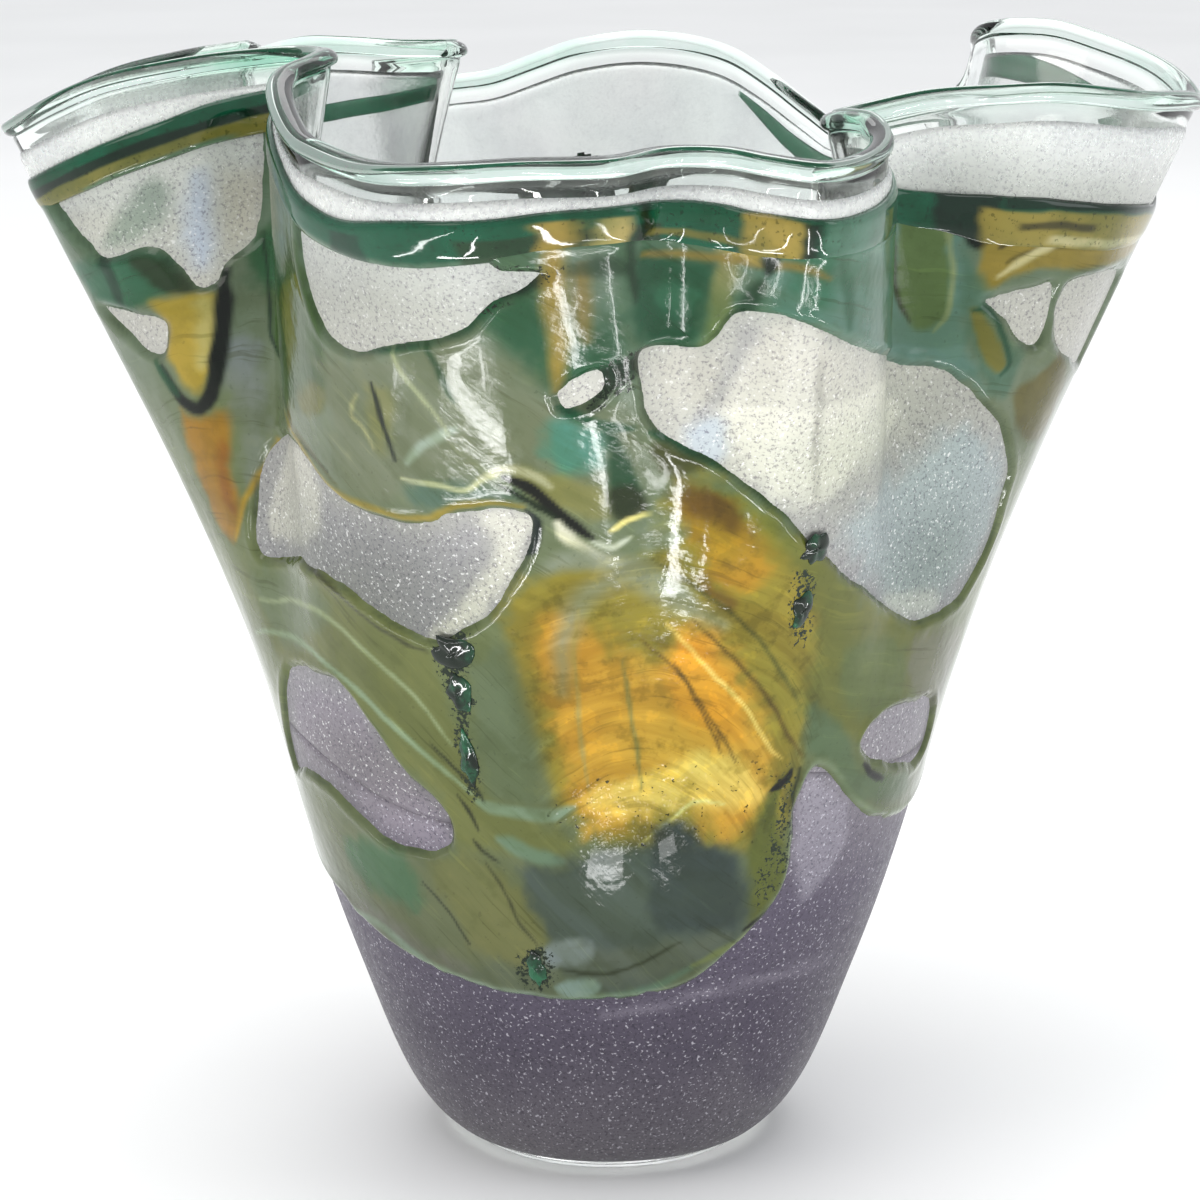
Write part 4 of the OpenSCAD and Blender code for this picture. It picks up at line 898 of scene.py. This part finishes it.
def swirl_material():
    M = Mat("swirl_glass")
    tint, clear, gold = M.attr("tint", True), M.attr("clear"), M.attr("gold")
    sep = M.t.nodes.new("ShaderNodeSeparateXYZ")
    M.t.links.new(M.coords(), sep.inputs[0])
    warp = M.noise(34, 3, 0.5)

    def flowing(attr, scale, stretch, detail):
        comb = M.t.nodes.new("ShaderNodeCombineXYZ")
        M.put(comb.inputs[0], M.mul(M.add(M.attr(attr), M.mul(warp, 7.0)), scale))
        M.put(comb.inputs[1], M.mul(sep.outputs[0], stretch))
        M.put(comb.inputs[2], M.mul(sep.outputs[2], stretch))
        return M.noise(1.0, detail, 0.6, comb.outputs[0])

    broad = M.math("ADD", M.mul(flowing("psi", 0.12, 16, 4), M.sub(1.0, gold)), M.mul(flowing("fan", 0.2, 22, 4), gold))
    fine = M.math("ADD", M.mul(flowing("psi", 0.7, 30, 3), M.sub(1.0, gold)), M.mul(flowing("fan", 0.9, 34, 3), gold))
    cloud = M.noise(30, 4, 0.6)
    pits = M.noise(700, 2, 0.6)
    patchy = M.noise(55, 2, 0.5)
    wash = M.mix(gold, (0.80, 0.82, 0.70, 1), (0.70, 0.66, 0.46, 1))
    base = M.mix(M.ramp(broad, 0.40, 0.60, 0.0, 0.9), tint, wash, "MULTIPLY")
    mottle = M.noise(120, 4, 0.65)
    base = M.mix(M.mul(M.ramp(mottle, 0.52, 0.64), M.add(M.mul(gold, 0.5), 0.25)), base, (0.62, 0.62, 0.42, 1), "MULTIPLY")
    base = M.mix(M.mul(M.ramp(mottle, 0.44, 0.36), M.add(M.mul(gold, 0.45), 0.15)), base, (1.35, 1.28, 1.05, 1), "MULTIPLY")
    base = M.mix(M.ramp(cloud, 0.42, 0.62, 0.0, 0.55), base, (0.80, 0.86, 0.80, 1), "MULTIPLY")
    pale = M.mul(M.ramp(fine, 0.57, 0.66), M.ramp(patchy, 0.45, 0.62, 0, 0.55))
    base = M.mix(pale, base, (1.45, 1.42, 1.30, 1), "MULTIPLY")
    deep = M.mul(M.ramp(fine, 0.42, 0.33), M.ramp(patchy, 0.6, 0.42, 0, 0.5))
    base = M.mix(deep, base, (0.45, 0.46, 0.26, 1), "MULTIPLY")
    base = M.mix(M.mul(M.ramp(pits, 0.66, 0.72), M.attr("speck")), base, (0.10, 0.12, 0.05, 1), "MULTIPLY")
    grit = M.noise(900, 3, 0.7)
    soot = M.ramp(M.add(grit, M.mul(M.attr("soot"), 0.22)), 0.64, 0.68)
    base = M.mix(M.mul(soot, M.ramp(M.attr("soot"), 0.02, 0.3)), base, (0.008, 0.016, 0.007, 1))
    nb = M.bump(cloud, 0.0022, 0.35)
    nb = M.bump(fine, 0.0003, 0.16, nb)
    nb = M.bump(M.mul(M.noise(330, 2, 0.6), M.attr("speck")), 0.0009, 0.5, nb)
    M.set(Base_Color=base, Roughness=M.add(M.ramp(cloud, 0.3, 0.7, 0.06, 0.14), M.mul(clear, 0.2)), IOR=1.4,
          Transmission_Weight=clear, Normal=nb)
    M.b.inputs["Specular IOR Level"].default_value = 0.3
    M.b.inputs["Coat Weight"].default_value = 0.16
    M.b.inputs["Coat Roughness"].default_value = 0.03
    return M.m


def green_glass(name, painted):
    M = Mat(name)
    n = M.noise(60, 4, 0.6)
    pits = M.noise(900, 2, 0.6)
    if painted:
        tint = M.attr("tint", True)
        base = M.mix(M.ramp(n, 0.38, 0.62, 0.0, 0.8), tint, (0.5, 0.6, 0.5, 1), "MULTIPLY")
    else:
        base = M.mix(M.ramp(n, 0.46, 0.62), srgb(12, 24, 14), srgb(34, 92, 62))
    base = M.mix(M.ramp(pits, 0.60, 0.68, 0.0, 0.6), base, (0.2, 0.24, 0.14, 1), "MULTIPLY")
    nb = M.bump(n, 0.0007, 0.2)
    M.set(Base_Color=base, Roughness=M.ramp(n, 0.3, 0.7, 0.03, 0.1), IOR=1.4,
          Transmission_Weight=M.attr("clear") if painted else 0.1, Normal=nb)
    return M.m


# ----------------------------------------------------------------------------
# Pieces
# ----------------------------------------------------------------------------
def build_bubble():
    cols = 480
    ph = np.arange(cols) * 360 / cols
    s_out = np.concatenate([[0.0, 0.006], np.linspace(0.013, 0.16, 20), np.linspace(0.17, 1, 82)])
    rows = []
    for s in s_out:
        P, n, _ = frame_at(ph, np.full(cols, s))
        if s == 0.0:
            a = np.radians(ph)
            rows.append(np.stack([36 * np.sin(a), -36 * np.cos(a), 0 * a], -1))
        elif s < 0.012:
            rows.append(P + n * -0.6)
        else:
            rows.append(P - n * SKIN)
    # fire-polished bead, fused to the wall
    P, n, t = frame_at(ph, np.ones(cols))
    mid = P - n * (SKIN + WALL_T / 2)
    fat = 1 + 0.10 * wobble(ph, np.ones(cols), 24, 11, 2)
    for a in np.radians([-62, -45, -25, -5, 15, 35, 55, 75, 90, 105, 125, 145, 165, 185, 205, 225, 242]):
        rows.append(mid + n * (2.7 * fat * np.cos(a))[:, None] + t * (2.2 + 2.1 * fat * np.sin(a))[:, None])
    s_in = np.concatenate([np.linspace(0.995, 0.2, 66), [0.18, 0.16, 0.145]])
    for s in s_in:
        P, n, _ = frame_at(ph, np.full(cols, s))
        rows.append(P - n * (SKIN + WALL_T))
    a = np.radians(ph)
    for r, z in ((52.2, 29), (50.2, 25), (48, 21.2), (45.4, 17.8), (42, 14.7), (37.6, 12), (32, 10.2), (25, 9.3), (16, 9.05), (7, 9)):
        rows.append(np.stack([r * np.sin(a), -r * np.cos(a), 0 * a + z], -1))
    V = np.concatenate(rows)
    R = len(rows)
    Q = ring_quads(R, cols, False)
    # close the foot and the floor with fans of quads round a centre
    V = np.concatenate([V, [[0, 0, 0], [0, 0, 9]]])
    c0, c1 = len(V) - 2, len(V) - 1
    k = np.arange(0, cols, 2)
    foot = np.stack([np.full(len(k), c0), (k + 2) % cols, (k + 1) % cols, k], -1)
    base = (R - 1) * cols
    floor_ = np.stack([np.full(len(k), c1), base + k, base + (k + 1) % cols, base + (k + 2) % cols], -1)
    n_out, n_bead = len(s_out), 17
    bead = np.zeros((R, cols))
    q = np.mod(ph + 180, 360) - 180
    green = 0.30 + 0.7 * smooth(-70, -60, q) * smooth(-12, -36, q) + 0.5 * smooth(34, 40, q) * smooth(60, 50, q)
    green = np.clip(green + 0.5 * wobble(ph, np.ones(cols), 12, 13, 3), 0, 1)
    bead[n_out : n_out + n_bead] = green
    bead[n_out - 1], bead[n_out + n_bead] = green * 0.4, green * 0.4
    return make_mesh("glass_bubble", V, np.concatenate([Q, foot, floor_]), {"bead": np.append(bead.ravel(), [0, 0])})


FRIT_X = [0.0, 0.16, 0.30, 0.42, 0.5, 0.6, 0.7, 0.8, 0.88, 0.93, 0.97, 1.0]
FRIT_TONE = [(106, 102, 107, .02), (72, 66, 80, .02), (80, 73, 90, .03), (124, 119, 126, .05), (142, 139, 144, .08),
             (148, 147, 150, .12), (170, 169, 165, .18), (192, 191, 181, .25), (184, 186, 176, .35), (206, 209, 202, .45),
             (246, 248, 244, .55), (250, 252, 250, .65)]


FRIT_SOFT = [  # soft tone shifts: angle, share, reach in angle and share, factors
    (-34, .61, 34, .11, (.52, .55, .48)), (58, .60, 22, .08, (.56, .60, .54)), (40, .74, 30, .07, (.78, .82, .74)),
    (-44, .43, 24, .05, (.66, .68, .62)), (-70, .90, 10, .06, (1.16, 1.17, 1.16))]
SWIRL_SOFT = [
    (60, .51, 22, .07, (.72, .78, .56)), (13, .865, 12, .05, (.5, .84, .72)), (14, .685, 9, .05, (.70, .90, .6)),
    (10, .32, 18, .04, (1.2, 1.2, 1.06)), (12, .48, 16, .08, (.86, 1.05, 1.2)), (-66, .70, 8, .06, (.9, .92, .6)),
    (-52, .54, 20, .05, (.86, .88, .84))]


def soft_tone(T, p, S, table):
    T = T.copy()
    for a, b, wa, wb, f in table:
        g = np.exp(-((p - a) / wa) ** 2 - ((S - b) / wb) ** 2)[..., None]
        T = T * (1 + g * (np.array(f) - 1))
    return np.clip(T, 0, 1)


def frit_attrs(PH, S):
    mist = wobble(PH, S, 18, 41, 4)
    T = bands(S + 0.03 * mist, FRIT_X, FRIT_TONE)
    p = np.mod(PH + 180, 360) - 180
    behind = smooth(96, 112, np.abs(p)) * smooth(0.74, 0.86, S)
    T[..., :3] += (np.array([0.97, 0.98, 0.97]) - T[..., :3]) * behind[..., None]
    T[..., 3] = np.maximum(T[..., 3], behind * 0.95)
    T = paint(PH, S, T, FRIT_TINTS, 43)
    clear = np.where(S > 0.8, np.maximum(T[..., 3], np.interp(S, [.8, .88, .93, .97], [.2, .32, .45, .55])), T[..., 3])
    return {"tint": soft_tone(T[..., :3] * np.interp(S, [0, .9, .97], [.93, .93, 1])[..., None], p, S, FRIT_SOFT), "clear": clear}


def build_frit():
    cols = 540
    ph = np.arange(cols) * 360 / cols
    top = 0.42 + 0.02 * np.sin(np.radians(ph * 3)) + 0.01 * np.sin(np.radians(ph * 5 + 40))
    rows = 54
    f = np.linspace(0, 1, rows)[:, None] ** 1.4
    S = 0.012 + (top[None] - 0.012) * f
    edge = np.ones(rows)
    edge[0] = 0.25
    PH = np.broadcast_to(ph[None], S.shape)
    o = -0.95 + 0.75 * edge[:, None] + 0 * S
    v = layer_shell("violet_frit", ph[None], S, o, -0.95, frit_attrs(PH, S))
    rows = 90
    f = np.linspace(0, 1, rows)[:, None]
    S2 = top[None] + 0.0006 + (0.985 - top[None]) * f
    edge = np.ones(rows)
    edge[-1] = 0.2
    PH = np.broadcast_to(ph[None], S2.shape)
    p = layer_shell("pearl_frit", ph[None], S2, -0.95 + 0.75 * edge[:, None] + 0 * S2, -0.95, frit_attrs(PH, S2))
    return v, p


def build_swirls():
    cols_f = np.arange(-104, 104, 0.36)
    cols_b = np.arange(104, 256, 0.8)
    ph = np.concatenate([cols_f, cols_b])
    s = np.arange(0.2, 0.9751, 0.0026)
    PH, S = np.broadcast_arrays(ph[None], s[:, None])
    PH, S = PH.copy(), S.copy()
    p = np.mod(PH + 180, 360) - 180
    d = swirl_depth(PH, S)
    d = np.minimum(d, (0.972 - S) * MM_S)
    rim_lift = 0.25 * np.exp(-((d - 1.6) / 1.3) ** 2)
    o_out = -0.2 + np.where(d < 0, np.maximum(-0.35, d * 0.5), 1.0 * (1 - (1 - np.clip(d / 2.4, 0, 1)) ** 2) + rim_lift)
    o_out = o_out + 0.10 * smooth(2, 6, d) * wobble(PH, S, 36, 31)
    o_in = np.minimum(-0.18, o_out - 0.08)
    back = smooth(98, 112, np.abs(p))
    tone = bands(S + 0.03 * wobble(PH, S, 14, 51, 4), [0.2, 0.34, 0.45, 0.58, 0.7, 0.84, 0.95],
                 [(104, 112, 92, .15), (112, 120, 92, .15), (114, 122, 88, .15), (120, 128, 92, .2), (124, 134, 110, .3),
                  (124, 138, 118, .4), (92, 122, 98, .4)])
    swath = smooth(-0.15, 0.35, wobble(PH, S, 9, 81, 3))[..., None] * back[..., None]
    tone = tone * (1 - swath) + bands(S, [0.3, 0.5, 0.7, 0.9], [(132, 116, 52, .1), (178, 142, 62, .1), (60, 104, 74, .3), (40, 100, 70, .4)]) * swath
    T = paint(PH, S, tone, SWIRL_TINTS + BACK_TINTS, 53)
    low = inside_edge(p, S, LOWER)
    # pale band just above the lower edge of the swirled layer: a painted highlight of the glossy lip there
    rim = (0.6 * np.exp(-((low - 1.0) / 0.9) ** 2) * (0.75 + 0.8 * wobble(PH, S, 50, 77)))[..., None]
    T = T * (1 - rim) + np.append(lin((158, 172, 152)), 0.3) * rim
    seam = (0.5 * np.exp(-((d - 0.35) / 0.45) ** 2) * smooth(3, 6, low) * np.clip(0.6 + 1.2 * wobble(PH, S, 80, 79), 0, 1))[..., None]
    T = T * (1 - seam) + np.append(lin((34, 58, 34)), 0.1) * seam
    x = p * MM_PHI
    fan = np.hypot(x - 4 * MM_PHI, (S - 0.30) * MM_S * 0.8)
    turn = np.radians(p)
    attrs = {"tint": soft_tone(T[..., :3] ** 1.3, p, S, SWIRL_SOFT), "clear": T[..., 3] * 0.7, "fan": fan,
             "psi": 0.8 * S * MM_S + 55 * np.sin(turn) + 7 * np.sin(3 * turn + 1),
             "gold": smooth(-3, 6, inside_mm(PH, S, AMBER)),
             "speck": smooth(-4, 3, inside_mm(PH, S, PITTED)) + 0.2,
             "soot": np.max([w * smooth(-2.0, 2.4, inside_mm(PH, S, q)) for w, q in zip(SOOT_WEIGHT, SOOT)], 0)}
    which = pieces_of(p, S)
    made = []
    keep_all = d > -1.6
    for k, name in enumerate(PIECES):
        m = keep_all & (which == k)
        made.append(patch_piece(name.replace("_swirl", "") + "_swirl_glass", PH, S, m, o_out, o_in, attrs))
    return made


def patch_piece(name, PH, S, mask, o_out, o_in, attrs):
    rows, cols = PH.shape
    cell = mask[:-1]            # each cell belongs to its lower left corner, so pieces meet edge to edge
    P, n, _ = grid_cache(PH, S)
    outer = (P + n * o_out[..., None]).reshape(-1, 3)
    inner = (P + n * o_in[..., None]).reshape(-1, 3)
    R, C = np.nonzero(cell)
    C2 = (C + 1) % cols
    a, b, c, d = R * cols + C, R * cols + C2, (R + 1) * cols + C2, (R + 1) * cols + C
    N = rows * cols
    quads = [np.stack([a, b, c, d], -1), np.stack([a, d, c, b], -1) + N]
    up, dn = np.zeros_like(cell), np.zeros_like(cell)
    up[:-1], dn[1:] = cell[1:], cell[:-1]
    rt, lf = np.roll(cell, -1, 1), np.roll(cell, 1, 1)
    for nb, (e0, e1) in ((dn, (a, b)), (rt, (b, c)), (up, (c, d)), (lf, (d, a))):
        edge = ~nb[R, C]
        quads.append(np.stack([e1[edge] + 2 * N, e0[edge] + 2 * N, e0[edge] + 3 * N, e1[edge] + 3 * N], -1))
    Q = np.concatenate(quads)
    used, inv = np.unique(Q, return_inverse=True)
    V = np.concatenate([outer, inner, outer, inner])[used]
    at = {}
    for k, v in attrs.items():
        f = v.reshape((-1,) + v.shape[2:])
        at[k] = np.concatenate([f, f, f, f])[used]
    return make_mesh(name, V, inv.reshape(Q.shape), at)


_grid = {}


def grid_cache(PH, S):
    if "g" not in _grid:
        _grid["g"] = frame_at(PH, S)
    return _grid["g"]


COLLAR = np.array([
    [-150, 0.974, 0.3], [-143, 0.972, 0.45], [-137, 0.969, 0.55], [-131, 0.957, 0.6], [-124, 0.944, 0.62],
    [-112, 0.945, 0.8], [-100, 0.948, 1], [-88, 0.949, 1.1], [-80, 0.947, 1.1], [-73, 0.946, 1.15], [-69, 0.951, 1.15],
    [-65, 0.96, 1.15], [-61, 0.964, 1.15], [-54, 0.966, 1.2], [-48, 0.966, 1.25], [-41, 0.962, 1.3], [-36, 0.952, 1.2],
    [-29, 0.945, 1.05], [-22, 0.949, 1.3], [-16, 0.951, 1.4], [-8, 0.953, 1.25], [0, 0.96, 1.25], [8, 0.954, 1.35],
    [15, 0.95, 1.45], [22, 0.952, 1.4], [30, 0.951, 1.35], [38, 0.952, 1.5], [45, 0.958, 1.7], [51, 0.934, 1.3], [57, 0.915, 1.2],
    [62, 0.904, 1.5], [70, 0.898, 1.6], [80, 0.896, 1.5], [90, 0.9, 1.2], [99, 0.925, 1], [110, 0.955, 0.9],
    [120, 0.97, 0.8], [126, 0.978, 0.9], [141, 0.966, 0.9], [150, 0.964, 1.0], [156, 0.965, 0.95], [160, 0.965, 0.75],
    [164, 0.971, 0.5], [167.5, 0.978, 0.15]], float)
COLLAR_TINTS = [  # column angle range, place across (-1 low, 1 high), colour, clearness, strength
    # the first two rows give the collar on the back a lighter green: painted light, standing in for the light that part
    # of the collar barely gets
    (-155, -97, -1.3, 1.3, (58, 160, 116), .6, .9), (104, 170, -1.3, 1.3, (58, 160, 116), .6, .9),
    (-90, -60, -1.2, -0.15, (120, 114, 52), .25, .9), (-90, -61, -0.2, 0.28, (14, 30, 20), .05, .95),
    (-76, -64, -1.3, -0.75, (92, 124, 100), .4, .8),
    (-40, -8, -1.3, -0.62, (92, 122, 98), .45, .8), (-29, -24, -0.9, 0.3, (12, 44, 30), .1, .8),
    (-12, 6, -0.9, 0.1, (30, 44, 22), .1, .8), (-4.6, -2.2, -1.2, 0.6, (150, 128, 56), .3, .9),
    (-1.2, 1.6, -1.2, 0.5, (176, 160, 96), .3, .85), (2.6, 4.2, -1.2, 1.2, (12, 26, 14), .05, .95),
    (5, 17, 0.1, 0.9, (14, 74, 48), .2, .8), (4, 20, -0.5, -0.2, (112, 104, 44), .2, .8),
    (16, 22, -1.2, 0.9, (160, 138, 62), .3, .9), (21.5, 23.4, -1.2, 0.9, (14, 32, 18), .05, .95),
    (24, 48, -1.2, 1.2, (86, 130, 108), .45, .85), (33, 34.4, -1.2, 1.2, (40, 92, 68), .3, .8),
    (57, 64, -1.2, 1.2, (12, 30, 20), .05, .95), (62, 96, -1.3, 0.55, (138, 124, 54), .2, .92),
    (64, 92, 0.62, 1.2, (14, 36, 24), .05, .95), (66, 76, -0.2, 0.15, (44, 42, 16), .05, .9),
    (70, 94, -0.75, -0.42, (196, 188, 140), .35, .8), (62, 80, -1.2, -0.9, (70, 78, 34), .1, .8)]


def build_collar():
    ph = np.arange(-150, 167.51, 0.36)
    mid = cubic(COLLAR[:, 0], COLLAR[:, 1], ph)
    w = cubic(COLLAR[:, 0], COLLAR[:, 2], ph) * 3.6 * (1 + 0.12 * wobble(ph, mid, 40, 61, 3))
    w = np.maximum(w, 0.4)
    drift = 0.5 * wobble(ph, mid, 30, 71, 2)
    arc = np.linspace(-1, 1, 29)
    prof = [(a, 1.22 * (1 - abs(a) ** 3.2) ** 0.5 * (1 if abs(a) < 1 else 0) - 0.15 * (abs(a) == 1)) for a in arc]
    prof += [(0.5, -0.17), (0.0, -0.17), (-0.5, -0.17)]
    fat = np.minimum(1, w / 3.0)
    rows, ss = [], []
    for a, o in prof:
        s = np.minimum(mid + (drift + a * w) / HN, 0.984)
        P, n, _ = frame_at(ph, s)
        rows.append(P + n * (o * fat if o > 0 else o + 0 * fat)[:, None])
        ss.append(s)
    V = np.stack(rows, 1)                       # columns, profile, 3
    m, k = V.shape[0], V.shape[1]
    c, j = np.meshgrid(np.arange(m - 1), np.arange(k), indexing="ij")
    j2 = (j + 1) % k
    Q = np.stack([c * k + j, (c + 1) * k + j, (c + 1) * k + j2, c * k + j2], -1).reshape(-1, 4)
    caps = []
    mids = V[[0, -1]].mean(1)
    VV = np.concatenate([V.reshape(-1, 3), mids])
    for j in range(0, k, 2):
        caps.append([m * k, (j + 2) % k, (j + 1) % k, j])
        e = (m - 1) * k
        caps.append([m * k + 1, e + j, e + (j + 1) % k, e + (j + 2) % k])
    A = np.repeat(ph[:, None], k, 1)
    X = np.repeat(np.array([a for a, _ in prof])[None], m, 0)
    T = np.empty(A.shape + (4,))
    T[...] = np.append(lin((16, 84, 58)), 0.32)
    ra, rx = A + 1.1 * wobble(A, X * 0.03, 90, 63), X + 0.22 * wobble(A, X * 0.03 + 0.4, 60, 67)
    for a0, a1, x0, x1, rgb, clear, strength in COLLAR_TINTS:
        f = smooth(a0 - 0.7, a0 + 0.7, ra) * smooth(a1 + 0.7, a1 - 0.7, ra) * smooth(x0 - 0.1, x0 + 0.1, rx) * smooth(x1 + 0.1, x1 - 0.1, rx)
        f = (strength * f)[..., None]
        T = T * (1 - f) + np.append(lin(rgb), clear) * f
    T = np.concatenate([T.reshape(-1, 4), T[[0, -1], 0]])
    return make_mesh("collar_trail_glass", VV, np.concatenate([Q, np.array(caps)]),
                     {"tint": T[:, :3], "clear": T[:, 3]})


def build_thread():
    """Fine green thread that runs in and out on the outside of the bead."""
    ph = np.arange(0, 360, 0.6)
    P, n, t = frame_at(ph, np.ones(len(ph)))
    mid = P - n * (SKIN + WALL_T / 2)
    live = 0.45 + 0.9 * wobble(ph, np.ones(len(ph)), 14, 91, 3)
    q = np.mod(ph + 180, 360) - 180
    heavy = smooth(-66, -58, q) * smooth(-14, -34, q)
    heavy = np.maximum(heavy, 0.6 * smooth(-98, -92, q) * smooth(-74, -80, q))
    r = np.clip(0.34 + 0.6 * live, 0.2, 1.0) * (1 - heavy) + 1.55 * heavy
    ang = np.radians(62 + 26 * wobble(ph, np.ones(len(ph)), 8, 97, 2)) * (1 - heavy) + np.radians(6) * heavy
    sink = 1 - 0.35 * heavy
    ctr = mid + n * (2.62 * sink * np.cos(ang))[:, None] + t * (2.2 + 2.0 * sink * np.sin(ang))[:, None]
    k = 10
    rows = []
    for j in range(k):
        a = 2 * math.pi * j / k
        rows.append(ctr + n * (r * math.cos(a))[:, None] + t * (r * math.sin(a))[:, None])
    V = np.stack(rows, 0)[::-1]
    Q = ring_quads(k, len(ph), True)
    T = np.empty((k * len(ph), 3))
    T[...] = lin((14, 84, 58))
    return make_mesh("lip_thread_glass", V.reshape(-1, 3), Q, {"tint": T, "clear": np.full(len(T), 0.3)})


CHIPS = [[338.3, 0.567, 5.0, 4.4], [338.0, 0.527, 3.2, 4.4], [338.0, 0.464, 2.4, 6.8], [346, 0.25, 3.0, 4.4],
         [28, 0.666, 3.2, 3.8], [27.3, 0.607, 2.2, 4.4]]


def build_chips():
    Vs, Qs, off = [], [], 0
    rng = np.random.default_rng(7)
    for a0, s0, w, h in CHIPS:
        k, rings = 28, 9
        jag = 1 + 0.28 * np.interp(np.arange(k), np.arange(0, k + 1, 2), rng.uniform(-1, 1, k // 2 + 1)[: k // 2 + 1])
        rows = []
        for i in range(rings):
            f = i / (rings - 1)
            rad = math.sin(f * math.pi / 2 * 0.98 + 0.02)
            a = np.arange(k) * 2 * math.pi / k
            ph = a0 + np.cos(a) * w * jag * rad / MM_PHI
            ss = s0 + np.sin(a) * h * jag * rad / MM_S
            P, n, _ = frame_at(ph, ss)
            up = 0.8 + 0.85 * math.cos(f * math.pi / 2) * (1 + 0.15 * np.cos(3 * a))
            rows.append(P + n * up[:, None])
        P, n, _ = frame_at(np.array([a0, a0]), np.array([s0, s0]))
        V = np.concatenate(rows + [P[:1] + n[:1] * 1.65, P[:1] + n[:1] * 0.78])
        Q = ring_quads(rings, k, False)[:, ::-1]
        top = [[rings * k, (j) % k, (j + 1) % k, (j + 2) % k] for j in range(0, k, 2)]
        e = (rings - 1) * k
        bot = [[rings * k + 1, e + (j + 2) % k, e + (j + 1) % k, e + j] for j in range(0, k, 2)]
        Qs.append(np.concatenate([Q, np.array(top), np.array(bot)]) + off)
        Vs.append(V)
        off += len(V)
    return make_mesh("emerald_chips_glass", np.concatenate(Vs), np.concatenate(Qs))


GLASS, VIO, PEARL, SWIRL = clear_glass(), frit_material("violet_frit_glass", True), frit_material("pearl_frit_glass", False), swirl_material()
COLL, EMER = green_glass("collar_green_glass", True), green_glass("emerald_glass", False)


def place(ob, mat, slot, *nodes):
    ob.data.materials.append(mat)
    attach(ob, "root")
    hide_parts(*nodes)


place(build_bubble(), GLASS, "clear_glass", "vase_body", "lip_wrap")
vio, pearl = build_frit()
place(vio, VIO, "violet_frit_glass", "violet_frit_casing")
place(pearl, PEARL, "pearl_frit_glass", "pearl_frit_casing")
for ob, node, slot in zip(build_swirls(), PIECES, SLOTS):
    place(ob, SWIRL, slot, node)
place(build_collar(), COLL, "collar_green_glass", "collar_trail")
place(build_thread(), COLL, "collar_green_glass", "lip_thread")
place(build_chips(), EMER, "emerald_glass", "emerald_chips")

# ----------------------------------------------------------------------------
# Floor, light and camera
# ----------------------------------------------------------------------------
bpy.ops.mesh.primitive_circle_add(vertices=96, radius=9.0, fill_type="NGON", location=(0, 0, -0.0002))
floor = bpy.context.object
floor.name = "floor"
F = Mat("floor_pale")
fn = F.noise(3, 2, 0.5)
F.set(Base_Color=F.mix(F.ramp(fn, 0.3, 0.7), (0.86, 0.86, 0.855, 1), (0.89, 0.89, 0.885, 1)), Roughness=0.7)
floor.data.materials.append(F.m)

scene = bpy.context.scene
world = bpy.data.worlds.new("studio") if scene.world is None else scene.world
scene.world = world
world.use_nodes = True
world.node_tree.nodes["Background"].inputs[0].default_value = (0.965, 0.98, 1.0, 1)
world.node_tree.nodes["Background"].inputs[1].default_value = 0.95


def area(name, loc, aim, size, power, color=(1, 1, 1)):
    d = bpy.data.lights.new(name, "AREA")
    d.shape = "RECTANGLE"
    d.size, d.size_y = size
    d.energy = power
    d.color = color
    ob = bpy.data.objects.new(name, d)
    scene.collection.objects.link(ob)
    ob.location = loc
    v = np.array(loc) - np.array(aim)
    yaw = math.atan2(v[0], -v[1])
    dist = math.hypot(v[0], v[1])
    ob.rotation_euler = (math.atan2(dist, v[2]), 0, yaw)
    ob.visible_camera = False
    return ob


def floor_strip(name, x, y0, y1, width, radiance, turn=0.0):
    """Narrow light lying on the floor in front; gives the upright glints in the folds."""
    d = bpy.data.lights.new(name, "AREA")
    d.shape = "RECTANGLE"
    d.size, d.size_y = width, y1 - y0
    d.energy = radiance * math.pi * width * (y1 - y0)
    ob = bpy.data.objects.new(name, d)
    scene.collection.objects.link(ob)
    ob.location = (x, -(y0 + y1) / 2, 0.004)
    ob.rotation_euler = (math.pi, 0, turn)
    ob.visible_camera = False


floor_strip("glint_mid", 0.078, 0.266, 0.66, 0.016, 46)
floor_strip("glint_left", -0.15, 0.27, 0.42, 0.010, 40)
floor_strip("glint_lobe", -0.175, 0.156, 0.316, 0.018, 46, math.radians(75))
floor_strip("glint_fold", 0.170, 0.237, 0.361, 0.010, 40, math.radians(126))
floor_strip("glint_far_left", -0.36, 0.12, 0.5, 0.014, 30)
floor_strip("glint_right", 0.27, 0.14, 0.5, 0.014, 40)
floor_strip("glint_low", -0.002, 0.152, 0.163, 0.026, 22)
floor_strip("glint_low_b", 0.050, 0.152, 0.160, 0.014, 20)
area("key_left", (-1.3, -0.9, 1.5), (0, 0, 0.13), (0.9, 0.9), 7, (1.0, 0.97, 0.92))
area("fill_right", (1.6, -0.4, 0.9), (0, 0, 0.13), (0.5, 1.2), 4, (0.93, 0.96, 1.0))
area("back_top", (0.2, 1.5, 1.6), (0, 0, 0.12), (1.6, 0.9), 7)
area("top_soft", (0, 0.02, 1.15), (0, 0, 0), (0.9, 0.9), 6.5)

cam_d = bpy.data.cameras.new("camera")
cam_d.sensor_fit = "HORIZONTAL"
cam_d.sensor_width = 36.0
cam_d.lens = 3398.0 / 1200.0 * 36.0
cam_d.clip_start, cam_d.clip_end = 0.01, 60
cam = bpy.data.objects.new("camera", cam_d)
scene.collection.objects.link(cam)
cam.location = (-0.0019, -0.8, 0.338)
cam.rotation_euler = (math.radians(90 - 14.386), 0, 0)
scene.camera = cam
scene.view_settings.view_transform = "Standard"
scene.cycles.max_bounces = 28
scene.cycles.transmission_bounces = 28
scene.cycles.glossy_bounces = 6
scene.cycles.diffuse_bounces = 5
